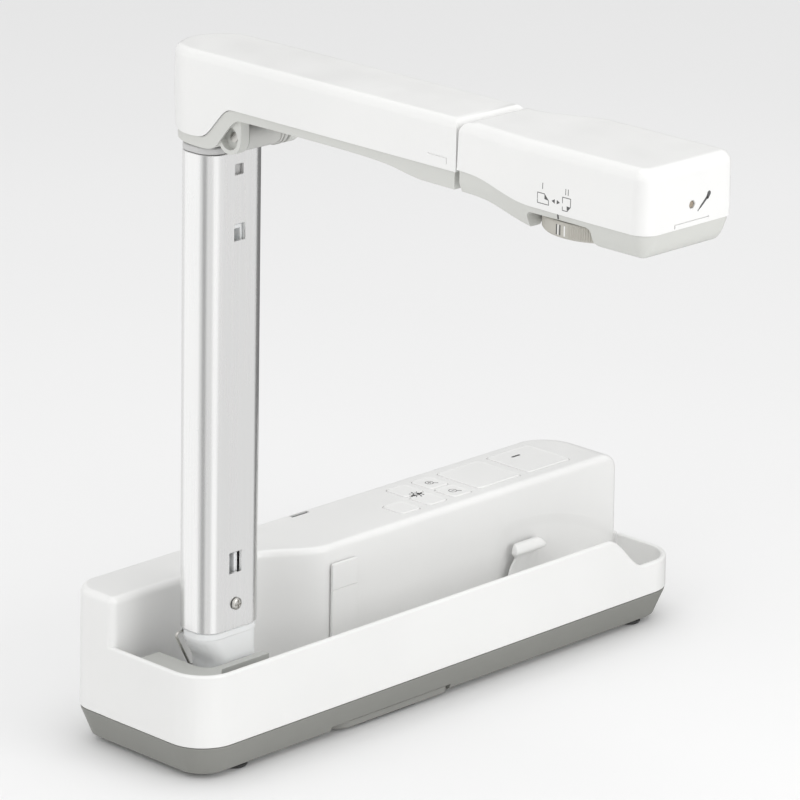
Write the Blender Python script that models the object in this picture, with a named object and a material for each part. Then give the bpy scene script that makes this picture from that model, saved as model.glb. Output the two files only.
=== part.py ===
"""Folding document camera: tray base with a control tower, upright column, swinging arm and camera head.

Lengths are in millimetres here and are scaled to metres as each mesh is made.
X runs along the base, the tray and the camera head face -Y, and the rubber feet stand on z = 0.
"""

import math

import bmesh
import bpy

MM = 0.001
Y_SHIFT = 105.75  # moves the design so that the origin is under the middle of the bounding box

# Base
BASE_L = 290.0
BASE_D = 79.0
CORNER_FRONT = 17.0
CORNER_BACK = 12.0
CORNER_BACK_RIGHT = 20.0
SEAM_Z = 15.8
RIM_Z = 46.4
LOW_RIM_Z = 30.1
TOWER_Z = 67.3
TOWER_Y_LEFT = 12.7
TOWER_Y_RIGHT = -1.6
TOWER_LEAN = 0.5
TOWER_ROUND = (2.7, 3.2)  # reach inwards and down of the rounding along the tower's top edge
TOWER_END_ROUND = (10.0, 8.0)  # the same at its right end
WALL = 2.4
SHELL = 2.2
TRAY_FLOOR_Z = 8.8
SHELF_Z = 17.5
COVER_Z = 2.0
COVER_INSET = 6.1
GAP = 0.3

# Column
COL_X = -110.8
COL_Y = -13.4
COL_HX = 16.1
COL_HY = 10.2
COL_R = 8.0
TUBE_WALL = 1.5
TUBE_Z0 = 56.6
TUBE_Z1 = 254.6
COLLAR_Z1 = 257.7
PIVOT_Z = 27.0
PIN_R = 2.5
SCREW_X = -111.1
SCREW_Z = 67.3
POST_R = 4.0

# Arm and knuckle
ARM_HW = 18.6
ARM_TOP_Z = 296.0
ARM_SEAM_Y = -155.9
FOLD_Y = -34.0
FOLD_Z = 264.5
BARREL_R = 6.0
BARREL_HL = 11.0
FOLD_PIN_R = 2.0
SHAFT_R = 5.0
ROLL_Z = 282.6

# Head
HEAD_X0 = -131.8
HEAD_X1 = -82.3
HEAD_Y0 = -251.0
HEAD_BACK_Y = -157.1
DIAL_X = -109.4
DIAL_Y = -211.0
DIAL_R = 22.0
HUB_R = 6.5
RIB_DEPTH = 0.35
LAMP_Y = -241.6
MIC_X = -106.8
MIC_Z = 279.8

# Control keys: name, x0, x1, y0, y1
KEYS = (
    ("key_source", 14.6, 26.0, 5.6, 18.0),
    ("key_bright_down", 31.0, 42.4, 5.6, 18.0),
    ("key_bright_up", 31.0, 42.4, 19.6, 32.0),
    ("key_zoom_out", 46.4, 57.8, 5.6, 18.0),
    ("key_zoom_in", 46.4, 57.8, 19.6, 32.0),
    ("key_focus", 62.4, 89.2, 6.2, 32.0),
    ("key_freeze", 94.0, 120.8, 6.2, 32.0),
)
KEY_GAP = 0.45
KEY_STEM_Z = 59.2  # the stems end above the switches on the main board

# Pull-out support foot under the front
SUPPORT_X0 = -66.8
SUPPORT_X1 = 2.8

# Rubber feet and bottom screws: x, y
FEET = ((-115.0, -27.6), (124.0, -27.6), (-115.0, 26.0), (124.0, 26.0))
SCREWS = ((-90.0, -27.0), (60.0, -27.0), (-90.0, 30.5), (60.0, 30.5))

# Shallow recess behind the clip, from its lower right corner round to the left: x, z
RECESS = (
    (142.4, 18.5),
    (142.0, 29.0),
    (133.0, 35.5),
    (123.0, 40.3),
    (113.0, 43.8),
    (102.0, 46.6),
    (91.0, 48.3),
    (80.0, 49.0),
    (74.0, 48.4),
    (69.0, 45.6),
    (66.6, 41.0),
    (66.0, 30.0),
    (67.0, 18.5),
)

# Slots in the front of the column tube: x0, x1, z0, z1
WINDOWS = (
    (-113.2, -108.6, 245.3, 249.4),
    (-113.4, -107.4, 218.4, 225.2),
    (-114.8, -107.9, 80.4, 89.2),
)

# Lower edges of the arm's and the head's covers, seen from the side: y, z
ARM_WHITE_EDGE = (
    (10.0, 264.8),
    (-2.0, 263.2),
    (-10.0, 262.5),
    (-18.5, 262.5),
    (-23.0, 263.8),
    (-31.2, 273.0),
    (-34.0, 275.6),
    (-37.2, 276.8),
    (-43.0, 276.8),
)
ARM_GRAY_EDGE = (
    (10.0, 259.6),
    (-4.0, 258.9),
    (-12.0, 258.4),
    (-20.0, 258.1),
    (-25.0, 258.6),
    (-28.2, 260.6),
    (-36.5, 270.6),
    (-39.5, 272.6),
    (-43.0, 273.1),
    (-96.0, 273.1),
    (-120.0, 272.4),
    (-131.0, 270.4),
    (-138.0, 269.6),
)
HEAD_WHITE_EDGE = (
    (-150.0, 277.6),
    (-163.0, 277.4),
    (-170.0, 276.6),
    (-180.0, 274.4),
    (-190.0, 272.5),
    (-199.0, 272.1),
    (-260.0, 271.9),
)

BODIES = {}
HELPERS = []


def clear_scene():
    for obj in list(bpy.data.objects):
        bpy.data.objects.remove(obj, do_unlink=True)


def material(name, rgb, roughness, metallic=0.0):
    mat = bpy.data.materials.get(name)
    if mat is None:
        mat = bpy.data.materials.new(name)
        mat.use_nodes = True
        shader = mat.node_tree.nodes["Principled BSDF"]
        shader.inputs["Base Color"].default_value = (*rgb, 1.0)
        shader.inputs["Roughness"].default_value = roughness
        shader.inputs["Metallic"].default_value = metallic
        mat.diffuse_color = (*rgb, 1.0)
    return mat


def body(name, origin, parent=None):
    """An empty on a joint axis, which the pieces of that body are parented to."""
    empty = bpy.data.objects.new(name + "_axis", None)
    bpy.context.scene.collection.objects.link(empty)
    empty.empty_display_size = 0.01
    x, y, z = origin
    place = (x * MM, (y + Y_SHIFT) * MM, z * MM)
    if parent is None:
        empty.location = place
    else:
        empty.parent = BODIES[parent][0]
        base = BODIES[parent][1]
        empty.location = tuple(a - b for a, b in zip(place, base))
    BODIES[name] = (empty, place)


def make(name, verts, faces, look, owner="base", helper=False):
    """A mesh object from millimetre coordinates, parented to its body."""
    empty, origin = BODIES[owner]
    mesh = bpy.data.meshes.new(name)
    points = [
        (x * MM - origin[0], (y + Y_SHIFT) * MM - origin[1], z * MM - origin[2]) for x, y, z in verts
    ]
    mesh.from_pydata(points, [], faces)
    bm = bmesh.new()
    bm.from_mesh(mesh)
    bmesh.ops.recalc_face_normals(bm, faces=bm.faces)
    bm.to_mesh(mesh)
    bm.free()
    obj = bpy.data.objects.new(name, mesh)
    bpy.context.scene.collection.objects.link(obj)
    obj.parent = empty
    if helper:
        obj.hide_render = True
        obj.display_type = "WIRE"
        HELPERS.append(obj)
    elif look is not None:
        mesh.materials.append(look)
    return obj


def loft(name, loops, look=None, owner="base", helper=False):
    """A closed body through loops of equal length, capped at both ends."""
    count = len(loops[0])
    verts = [point for loop in loops for point in loop]
    faces = [tuple(range(count)), tuple(range(len(verts) - count, len(verts)))]
    for level in range(len(loops) - 1):
        a = level * count
        b = a + count
        for i in range(count):
            j = (i + 1) % count
            faces.append((a + i, a + j, b + j, b + i))
    return make(name, verts, faces, look, owner, helper)


def arc(cx, cy, r, start, end, steps):
    """Points on an arc, with angles in degrees."""
    points = []
    for i in range(steps + 1):
        angle = math.radians(start + (end - start) * i / steps)
        points.append((cx + r * math.cos(angle), cy + r * math.sin(angle)))
    return points


def round_box(x0, x1, y0, y1, radii, steps=6):
    """A rounded rectangle; radii are front left, front right, back right, back left."""
    if not isinstance(radii, (tuple, list)):
        radii = (radii,) * 4
    fl, fr, br, bl = radii
    points = arc(x0 + fl, y0 + fl, fl, 180, 270, steps)
    points += arc(x1 - fr, y0 + fr, fr, 270, 360, steps)
    points += arc(x1 - br, y1 - br, br, 0, 90, steps)
    points += arc(x0 + bl, y1 - bl, bl, 90, 180, steps)
    return points


def inset(points, d):
    """Moves each point of a counter-clockwise outline inwards by d."""
    count = len(points)
    moved = []
    for i, (x, y) in enumerate(points):
        ax, ay = points[i - 1]
        bx, by = points[(i + 1) % count]
        la = math.hypot(x - ax, y - ay) or 1.0
        lb = math.hypot(bx - x, by - y) or 1.0
        nx = -(y - ay) / la - (by - y) / lb
        ny = (x - ax) / la + (bx - x) / lb
        length = math.hypot(nx, ny)
        cosine = max(length / 2, 0.5)
        moved.append((x + nx / length * d / cosine, y + ny / length * d / cosine))
    return moved


def at_z(points, z):
    return [(x, y, z) for x, y in points]


def prism(name, points, low, high, axis="z", look=None, owner="base", helper=False):
    """A straight prism: points are XY for z, XZ for y and YZ for x."""
    if axis == "z":
        loops = [[(u, v, h) for u, v in points] for h in (low, high)]
    elif axis == "y":
        loops = [[(u, h, v) for u, v in points] for h in (low, high)]
    else:
        loops = [[(h, u, v) for u, v in points] for h in (low, high)]
    return loft(name, loops, look, owner, helper)


def block(name, x0, x1, y0, y1, z0, z1, look=None, owner="base", helper=False):
    points = [(x0, y0), (x1, y0), (x1, y1), (x0, y1)]
    return prism(name, points, z0, z1, "z", look, owner, helper)


def lathe(name, centre, profile, axis="z", steps=32, look=None, owner="base", helper=False):
    """A solid of revolution; profile is (radius, height) pairs from one end to the other."""
    cx, cy, cz = centre
    loops = []
    for radius, height in profile:
        ring = arc(0, 0, max(radius, 0.01), 0, 360 - 360 / steps, steps - 1)
        if axis == "z":
            loops.append([(cx + u, cy + v, cz + height) for u, v in ring])
        elif axis == "y":
            loops.append([(cx + u, cy + height, cz + v) for u, v in ring])
        else:
            loops.append([(cx + height, cy + u, cz + v) for u, v in ring])
    return loft(name, loops, look, owner, helper)


def tunnel(name, centre, radius, low, high, axis="z", steps=24, owner="base"):
    """A plain round cutter."""
    return lathe(name, centre, ((radius, low), (radius, high)), axis, steps, None, owner, True)


def combine(target, tool, operation):
    modifier = target.modifiers.new(operation.lower(), "BOOLEAN")
    modifier.object = tool
    modifier.operation = operation
    modifier.solver = "EXACT"


def cut(target, tool):
    combine(target, tool, "DIFFERENCE")


def join(target, tool):
    combine(target, tool, "UNION")


def keep(target, tool):
    combine(target, tool, "INTERSECT")


def smooth_step(t):
    t = min(max(t, 0.0), 1.0)
    return t * t * (3 - 2 * t)


def tower_front(x):
    """The front wall of the control tower, which steps back at the left to clear the folded head."""
    t = smooth_step((x + 66.0) / 30.0)
    return TOWER_Y_LEFT + (TOWER_Y_RIGHT - TOWER_Y_LEFT) * t


def rounding(z, sizes):
    """How far the top rounding has come inwards at height z."""
    reach, depth = sizes
    t = (z - TOWER_Z + depth) / depth
    return 0.0 if t <= 0 else reach * (1 - math.sqrt(max(1 - t * t, 0.0)))


def tower_level(z, d=0.0):
    """The control tower's outline at height z, inset by a further d."""
    lean = TOWER_LEAN * min((z - SEAM_Z) / (TOWER_Z - TOWER_ROUND[1] - SEAM_Z), 1.0)
    edge = lean + rounding(z, TOWER_ROUND) + d
    end = lean + rounding(z, TOWER_END_ROUND) + d
    x0 = -BASE_L / 2 + edge
    x1 = BASE_L / 2 - end
    back = BASE_D / 2 - edge
    left = TOWER_Y_LEFT + edge
    right = TOWER_Y_RIGHT + edge
    r = max(4.0 - edge, 0.8)
    points = arc(x0 + r, left + r, r, 180, 270, 4)
    for i in range(15):
        x = -68.0 + 34.0 * i / 14
        points.append((x, tower_front(x) + edge))
    r = max(4.0 - end * 0.3, 0.8)
    points += arc(x1 - r, right + r, r, 270, 360, 5)
    r = CORNER_BACK_RIGHT - end * 0.6
    points += arc(x1 - r, back - r, r, 0, 90, 8)
    r = CORNER_BACK - edge
    points += arc(x0 + r, back - r, r, 90, 180, 6)
    return points


def tray_outline():
    """Inside of the tray, from the front wall back to the tower."""
    x0 = -BASE_L / 2 + WALL
    x1 = BASE_L / 2 - WALL
    y0 = -BASE_D / 2 + WALL
    r = CORNER_FRONT - WALL
    points = arc(x0 + r, y0 + r, r, 180, 270, 6)
    points += arc(x1 - r, y0 + r, r, 270, 360, 6)
    points.append((x1, 8.0))
    points.append((-30.0, 8.0))
    points.append((-48.0, 20.0))
    points.append((x0, 20.0))
    return points


def rim_profile():
    """Region above the lowered right end of the tray wall, as XZ."""
    points = [(152.0, LOW_RIM_Z), (152.0, 90.0), (90.0, 90.0), (90.0, RIM_Z + 2.0)]
    for i in range(13):
        t = i / 12
        x = 97.0 + 23.5 * t
        points.append((x, RIM_Z + 0.4 + (LOW_RIM_Z - RIM_Z - 0.4) * smooth_step(t)))
    return points


def build_base():
    white = material("shell_white", (0.86, 0.86, 0.84), 0.38)
    gray = material("cover_gray", (0.23, 0.23, 0.22), 0.5)
    trim_gray = material("trim_gray", (0.42, 0.42, 0.4), 0.45)
    rubber = material("rubber_black", (0.03, 0.03, 0.03), 0.9)
    steel = material("steel", (0.55, 0.55, 0.55), 0.3, 1.0)
    x0 = -BASE_L / 2
    x1 = BASE_L / 2
    back = BASE_D / 2
    radii = (CORNER_FRONT, CORNER_FRONT, CORNER_BACK_RIGHT, CORNER_BACK)
    outline = round_box(x0, x1, -back, back, radii, 7)

    levels = ((SEAM_Z, 0.0), (RIM_Z - 1.3, 0.3), (RIM_Z - 0.4, 0.6), (RIM_Z, 1.2))
    cover = loft("base_upper_cover", [at_z(inset(outline, d), z) for z, d in levels], white)
    cut(cover, prism("cut_rim", rim_profile(), -60, 60, "y", helper=True))
    cut(cover, prism("cut_tray", tray_outline(), SHELF_Z, 80, helper=True))
    heights = (SEAM_Z, 59.3, 61.6, 63.4, 64.1, 65.2, 66.1, 66.8, 67.15, TOWER_Z)
    join(cover, loft("add_tower", [at_z(tower_level(z), z) for z in heights], helper=True))
    tub = round_box(-135.6, 137.2, -31.8, -0.4, 7, 4)
    join(cover, prism("add_tub", tub, TRAY_FLOOR_Z - 1.6, SHELF_Z - 0.4, helper=True))
    trough = round_box(-134.2, 135.8, -30.4, -1.9, 6, 4)
    cut(cover, prism("cut_trough", trough, TRAY_FLOOR_Z, SHELF_Z + 1, helper=True))
    bay = round_box(-131.4, -90.6, -1.7, 4.0, 1, 2)
    join(cover, prism("add_bay", bay, TRAY_FLOOR_Z - 1.6, SHELF_Z - 0.3, helper=True))
    bay = round_box(-130.0, -92.0, -4.0, 2.6, 1, 2)
    cut(cover, prism("cut_bay", bay, TRAY_FLOOR_Z, SHELF_Z + 1.5, helper=True))
    hollow = []
    for z, above in ((3.0, 13.0), (57.5, 0.5), (62.0, 1.1), (TOWER_Z - SHELL, 1.1)):
        hollow.append(at_z(tower_level(z + above, SHELL + 0.2), z))
    cut(cover, loft("cut_tower", hollow, helper=True))
    cut(cover, prism("cut_recess", RECESS, TOWER_Y_RIGHT - 2, TOWER_Y_RIGHT + 0.9, "y", helper=True))
    for name, kx0, kx1, ky0, ky1 in KEYS:
        well = round_box(kx0 - KEY_GAP, kx1 + KEY_GAP, ky0 - KEY_GAP, ky1 + KEY_GAP, 2.4, 3)
        cut(cover, prism("cut_" + name, well, TOWER_Z - 5, TOWER_Z + 2, helper=True))
    cut(cover, block("cut_usb", 84, 96.6, 34, 44, 24, 35.6, helper=True))
    cut(cover, block("cut_lamp", -22.6, -12.0, 34.3, 36.6, 63, 70, helper=True))
    cut(cover, lathe("cut_clip_foot", (83, -5.2, 14), ((1.6, 0), (1.6, 9)), helper=True))
    for i, x in enumerate((-38.5, 80.0)):
        cut(cover, block(f"cut_slit_{i}", x, x + 2.0, 33, 37, 14.8, 16.6, helper=True))

    low = round_box(x0, x1, -back, back, radii, 7)
    levels = ((COVER_Z, COVER_INSET), (COVER_Z + 1.0, COVER_INSET - 1.3), (SEAM_Z - GAP, 0.2))
    bottom = loft("base_lower_cover", [at_z(inset(low, d), z) for z, d in levels], gray)
    levels = ((COVER_Z + 1.8, COVER_INSET + 1.2), (SEAM_Z + 1, 2.4))
    cut(bottom, loft("cut_inside", [at_z(inset(low, d), z) for z, d in levels], helper=True))
    join(bottom, block("add_channel", -69.4, 5.4, -30.6, 27, COVER_Z + 0.3, 6.8, helper=True))
    cut(bottom, block("cut_channel", SUPPORT_X0 - 0.4, SUPPORT_X1 + 0.4, -46, 25, 0, 5.2, helper=True))
    for i, (x, y) in enumerate(FEET):
        hole = lathe(f"cut_foot_{i}", (x, y, 0), ((2.4, 0), (2.4, 9)), steps=20, helper=True)
        cut(bottom, hole)
    for i, (x, y) in enumerate(SCREWS):
        hole = lathe(f"cut_screw_{i}", (x, y, 0), ((1.7, 0), (1.7, 9)), steps=16, helper=True)
        cut(bottom, hole)

    for i, (x, y) in enumerate(FEET):
        profile = ((4.6, 0), (5.4, 0.5), (5.4, 1.7), (2.1, 1.7), (2.1, 5.2))
        lathe(f"rubber_foot_{i + 1}", (x, y, 0), profile, look=rubber, steps=28)
    for i, (x, y) in enumerate(SCREWS):
        profile = ((2.6, 1.0), (2.6, 1.7), (1.4, 1.7), (1.4, 6.4))
        lathe(f"bottom_screw_{i + 1}", (x, y, 0), profile, look=steel, steps=20)

    build_surround(trim_gray)
    build_bracket(material("bracket_dark", (0.06, 0.06, 0.06), 0.55))
    lathe("column_pin", (COL_X, COL_Y, PIVOT_Z), ((PIN_R, -14.0), (PIN_R, 14.0)), "y", 24, steel)
    iron = material("ballast", (0.3, 0.3, 0.3), 0.5, 1.0)
    block("ballast_plate", -110, 118, 4.6, 27.2, 7.2, 15.2, iron)
    board = material("board_green", (0.02, 0.12, 0.05), 0.5)
    block("main_board", 9, 127, 4.4, 35.6, 56.4, 58.0, board)
    port = block("usb_socket", 84.5, 96.1, 28, 39.0, 24.5, 35.1, steel)
    cut(port, block("cut_port", 86.2, 94.4, 32, 46, 26.2, 33.4, helper=True))
    window = material("window_dark", (0.05, 0.05, 0.06), 0.2)
    block("rear_lamp", -22.2, -12.4, 34.7, 36.2, 62.5, 66.7, window)
    build_clip(white)
    pad = round_box(-35.4, -20.4, 19.0, 59.3, 1.2, 3)
    prism("wall_pad", pad, -3.2, TOWER_Y_RIGHT - 0.35, "y", white)



def surround_outline(d):
    """L-shaped plate left of and in front of the column foot, inset by d."""
    x0 = -BASE_L / 2 + WALL + 0.4 + d
    y0 = -BASE_D / 2 + WALL + 0.5 + d
    r = CORNER_FRONT - WALL - 0.4 - d
    points = [(x0, 3.4 - d)]
    points += arc(x0 + r, y0 + r, r, 180, 248, 5)
    points.append((-131.0 - d * 0.3, y0 + 0.1))
    points.append((-123.0, -28.2 + d * 0.35))
    points.append((-96.6 - d * 0.2, -28.2 + d * 0.35))
    points.append((-96.6 - d * 0.2, -24.5 - d * 0.35))
    points += reversed(arc(-121.2, -17.8, 6.7 + d, 180, 270, 4))
    points.append((-127.9 - d, 3.4 - d))
    return points


def build_surround(look):
    top = 43.5
    plate = prism("foot_surround", surround_outline(0.0), SHELF_Z + 0.3, top, look=look)
    hollow = [(-141.0, 1.6), (-141.0, -20.0), (-138.0, -27.5)]
    hollow += [(-132.0, -31.0), (-130.0, -31.0), (-130.0, 1.6)]
    cut(plate, prism("cut_skirt", hollow, 10, top - 2.0, helper=True))
    cut(plate, block("cut_under_bar", -129.4, -90, -32, -10, 10, 35.5, helper=True))


def build_bracket(look):
    """Two cheeks on a base plate that carry the pin of the column."""
    low = TRAY_FLOOR_Z + GAP
    plate = block("hinge_bracket", -128.4, -94.0, -28.0, 0.9, low, low + 1.3, look)
    cheek = [(-124.0, 9.4), (-97.0, 9.4)]
    cheek += arc(COL_X, PIVOT_Z, 8.0, -20, 200, 12)
    join(plate, prism("add_cheek_front", cheek, -28.0, -24.6, "y", helper=True))
    join(plate, prism("add_cheek_back", cheek, -2.8, 0.9, "y", helper=True))
    cut(plate, tunnel("cut_bracket", (COL_X, COL_Y, PIVOT_Z), PIN_R + 0.02, -20, 20, "y", 24))


def build_clip(look):
    """Springy hook that holds the folded column in the tray."""
    profile = [
        (-5.6, 18.0),
        (-4.6, 18.0),
        (-4.4, 36.0),
        (-5.0, 39.0),
        (-7.6, 42.2),
        (-8.6, 42.2),
        (-8.8, 41.0),
        (-6.2, 37.4),
        (-5.5, 35.0),
    ]
    clip = prism("arm_clip", profile, 71.0, 95.0, "x", look)
    join(clip, block("add_clip_root", 73.0, 93.0, -7.4, -2.3, SHELF_Z - 8.4, 18.6, helper=True))
    trim = [(66.0, 30.0), (71.8, 30.0), (73.4, 34.5), (72.2, 38.0), (73.2, 40.6), (75.6, 43.0), (66.0, 43.0)]
    cut(clip, prism("cut_clip_side", trim, -12, 0, "y", helper=True))


def build_keys():
    look = material("key_white", (0.84, 0.84, 0.82), 0.42)
    for name, x0, x1, y0, y1 in KEYS:
        body(name, ((x0 + x1) / 2, (y0 + y1) / 2, TOWER_Z), "base")
        face = round_box(x0, x1, y0, y1, 2.0, 3)
        levels = ((TOWER_Z - 3.4, 0.0), (TOWER_Z + 0.1, 0.0), (TOWER_Z + 0.45, 0.4))
        key = loft(name, [at_z(inset(face, d), z) for z, d in levels], look, name)
        lip = 0.7 if x1 - x0 < 15 else 1.1
        flange = round_box(x0 - lip, x1 + lip, y0 - lip, y1 + lip, 2.0, 2)
        low = TOWER_Z - SHELL - 0.4
        join(key, prism("add_flange_" + name, flange, low - 1.2, low, helper=True, owner=name))
        cx = (x0 + x1) / 2
        cy = (y0 + y1) / 2
        stem = round_box(cx - 1.5, cx + 1.5, cy - 1.5, cy + 1.5, 0.4, 1)
        join(key, prism("add_stem_" + name, stem, KEY_STEM_Z, low - 1, helper=True, owner=name))


def column_section(d):
    """The column's rounded rectangle, inset by d."""
    hx = COL_HX - d
    hy = COL_HY - d
    return round_box(COL_X - hx, COL_X + hx, COL_Y - hy, COL_Y + hy, COL_R - d, 8)


def build_column():
    aluminium = material("aluminium", (0.72, 0.72, 0.71), 0.28, 1.0)
    white = material("foot_white", (0.8, 0.81, 0.81), 0.35)
    gray = material("collar_gray", (0.6, 0.6, 0.58), 0.42)
    steel = material("steel", (0.55, 0.55, 0.55), 0.3, 1.0)
    tube = prism("column_tube", column_section(0.0), TUBE_Z0, TUBE_Z1, "z", aluminium, "column")
    inner = column_section(TUBE_WALL)
    cut(tube, prism("cut_tube", inner, TUBE_Z0 - 5, TUBE_Z1 + 5, "z", None, "column", True))
    face = COL_Y - COL_HY
    for i, (x0, x1, z0, z1) in enumerate(WINDOWS):
        cut(tube, block(f"cut_window_{i}", x0, x1, face - 4, face + 3, z0, z1, None, "column", True))
    screw_at = (SCREW_X, face, SCREW_Z)
    cut(tube, tunnel("cut_screw_hole", screw_at, 1.8, -3, 3, "y", 16, "column"))
    build_foot(white)
    profile = ((2.0, -1.5), (2.6, -1.2), (2.6, -0.35), (1.0, -0.35), (1.0, 6))
    screw = lathe("column_screw", screw_at, profile, "y", 20, steel, "column")
    for i, (w, h) in enumerate(((0.45, 2.0), (2.0, 0.45))):
        x0 = SCREW_X - w
        x1 = SCREW_X + w
        z0 = SCREW_Z - h
        z1 = SCREW_Z + h
        cut(screw, block(f"cut_cross_{i}", x0, x1, face - 4, face - 0.8, z0, z1, None, "column", True))

    levels = ((TUBE_Z1 + GAP, 0.0), (COLLAR_Z1 - 0.5, 0.15), (COLLAR_Z1, 0.7))
    collar = loft("column_collar", [at_z(column_section(d), z) for z, d in levels], gray, "column")
    plug = column_section(TUBE_WALL + 0.35)
    join(collar, prism("add_collar_plug", plug, 243.6, TUBE_Z1 + 0.6, "z", None, "column", True))
    centre = (COL_X, COL_Y, 0)
    cut(collar, tunnel("cut_collar", centre, POST_R + 0.06, 230, 270, "z", 24, "column"))
    cut(collar, tunnel("cut_collar_low", centre, 7.4, 230, 249, "z", 24, "column"))
    plug = column_section(TUBE_WALL + 0.4)
    insert = prism("upper_insert", plug, 214.5, 228.5, "z", white, "column")
    notch = (COL_X - 2.2, COL_X + 2.2, face - 1, face + 6, 216.5, 223.0)
    cut(insert, block("cut_insert", *notch, None, "column", True))
    build_wire(steel)


def build_foot(look):
    """The moulded foot that closes the tube's lower end and turns on the column's pin."""
    left = COL_X - 16.0
    right = COL_X + 16.0
    top = TUBE_Z0 - GAP
    sides = [(right, top), (left, top), (left, 53.4), (COL_X - 9.6, 43.0), (COL_X - 9.6, 33.0)]
    sides += arc(COL_X, PIVOT_Z, 12.6, 155, 360, 14)
    sides.append((right, 36.0))
    levels = (10.0, top)
    foot = loft("column_foot", [at_z(column_section(0.6), z) for z in levels], look, "column")
    keep(foot, prism("keep_foot", sides, -60, 60, "y", None, "column", True))
    plug = column_section(TUBE_WALL + 0.35)
    join(foot, prism("add_plug", plug, TUBE_Z0 - 2, 78.0, "z", None, "column", True))
    for i, x in enumerate((-113.6, -109.4)):
        finger = block(f"add_finger_{i}", x - 0.9, x + 0.9, -21.4, -16, 76, 92, None, "column", True)
        join(foot, finger)
    cut(foot, tunnel("cut_foot_bore", (COL_X, COL_Y, PIVOT_Z), PIN_R + 0.06, -20, 20, "y", 24, "column"))
    screw_at = (SCREW_X, COL_Y - COL_HY, SCREW_Z)
    cut(foot, tunnel("cut_foot_screw", screw_at, 1.3, -3, 7, "y", 16, "column"))


def build_wire(look):
    """Bent wire beside the slanted facet of the column foot."""
    path = (
        (COL_X - 12.0, 54.9),
        (COL_X - 17.2, 54.9),
        (COL_X - 18.4, 53.6),
        (COL_X - 11.2, 40.6),
        (COL_X - 10.9, 39.4),
    )
    r = 0.55
    loops = []
    for i, (x, z) in enumerate(path):
        ax, az = path[max(i - 1, 0)]
        bx, bz = path[min(i + 1, len(path) - 1)]
        length = math.hypot(bx - ax, bz - az)
        nx = (bz - az) / length
        nz = -(bx - ax) / length
        loop = []
        for k in range(8):
            angle = math.radians(45 * k)
            out = r * math.cos(angle)
            loop.append((x + nx * out, COL_Y + 5.4 + r * math.sin(angle), z + nz * out))
        loops.append(loop)
    loft("lock_wire", loops, look, "column")
    hole = (COL_X - 17, COL_X - 11.2, COL_Y + 4.4, COL_Y + 6.4, 53.9, 55.9)
    cut(bpy.data.objects["column_foot"], block("cut_wire", *hole, None, "column", True))


def build_knuckle():
    gray = material("knuckle_gray", (0.5, 0.5, 0.48), 0.4)
    steel = material("steel", (0.55, 0.55, 0.55), 0.3, 1.0)
    centre = (COL_X, COL_Y, 0)
    pivot = (COL_X, FOLD_Y, FOLD_Z)
    profile = ((8.0, COLLAR_Z1 + GAP), (9.6, COLLAR_Z1 + 0.7), (9.6, 261.6), (8.9, 262.4))
    swivel = lathe("swivel_block", centre, profile, "z", 32, gray, "knuckle")
    join(swivel, tunnel("add_post", centre, POST_R, 246.5, 260, "z", 24, "knuckle"))
    neck = [(COL_Y + 2.0, 259.6), (COL_Y + 2.0, 263.6), (FOLD_Y + 3, 269.4), (FOLD_Y, 270.4), (FOLD_Y, 259.6)]
    join(swivel, prism("add_neck", neck, COL_X - 6.5, COL_X + 6.5, "x", None, "knuckle", True))
    join(swivel, tunnel("add_barrel", pivot, BARREL_R, -BARREL_HL, BARREL_HL, "x", 28, "knuckle"))
    cut(swivel, tunnel("cut_barrel", pivot, FOLD_PIN_R + 0.06, -30, 30, "x", 20, "knuckle"))
    lathe("swivel_nut", centre, ((6.6, 243.9), (6.6, 246.2)), "z", 6, steel, "knuckle")


def arm_outline():
    points = [(COL_X - ARM_HW, ARM_SEAM_Y), (COL_X + ARM_HW, ARM_SEAM_Y)]
    points += arc(COL_X, COL_Y, ARM_HW, 0, 180, 20)
    return points


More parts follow.
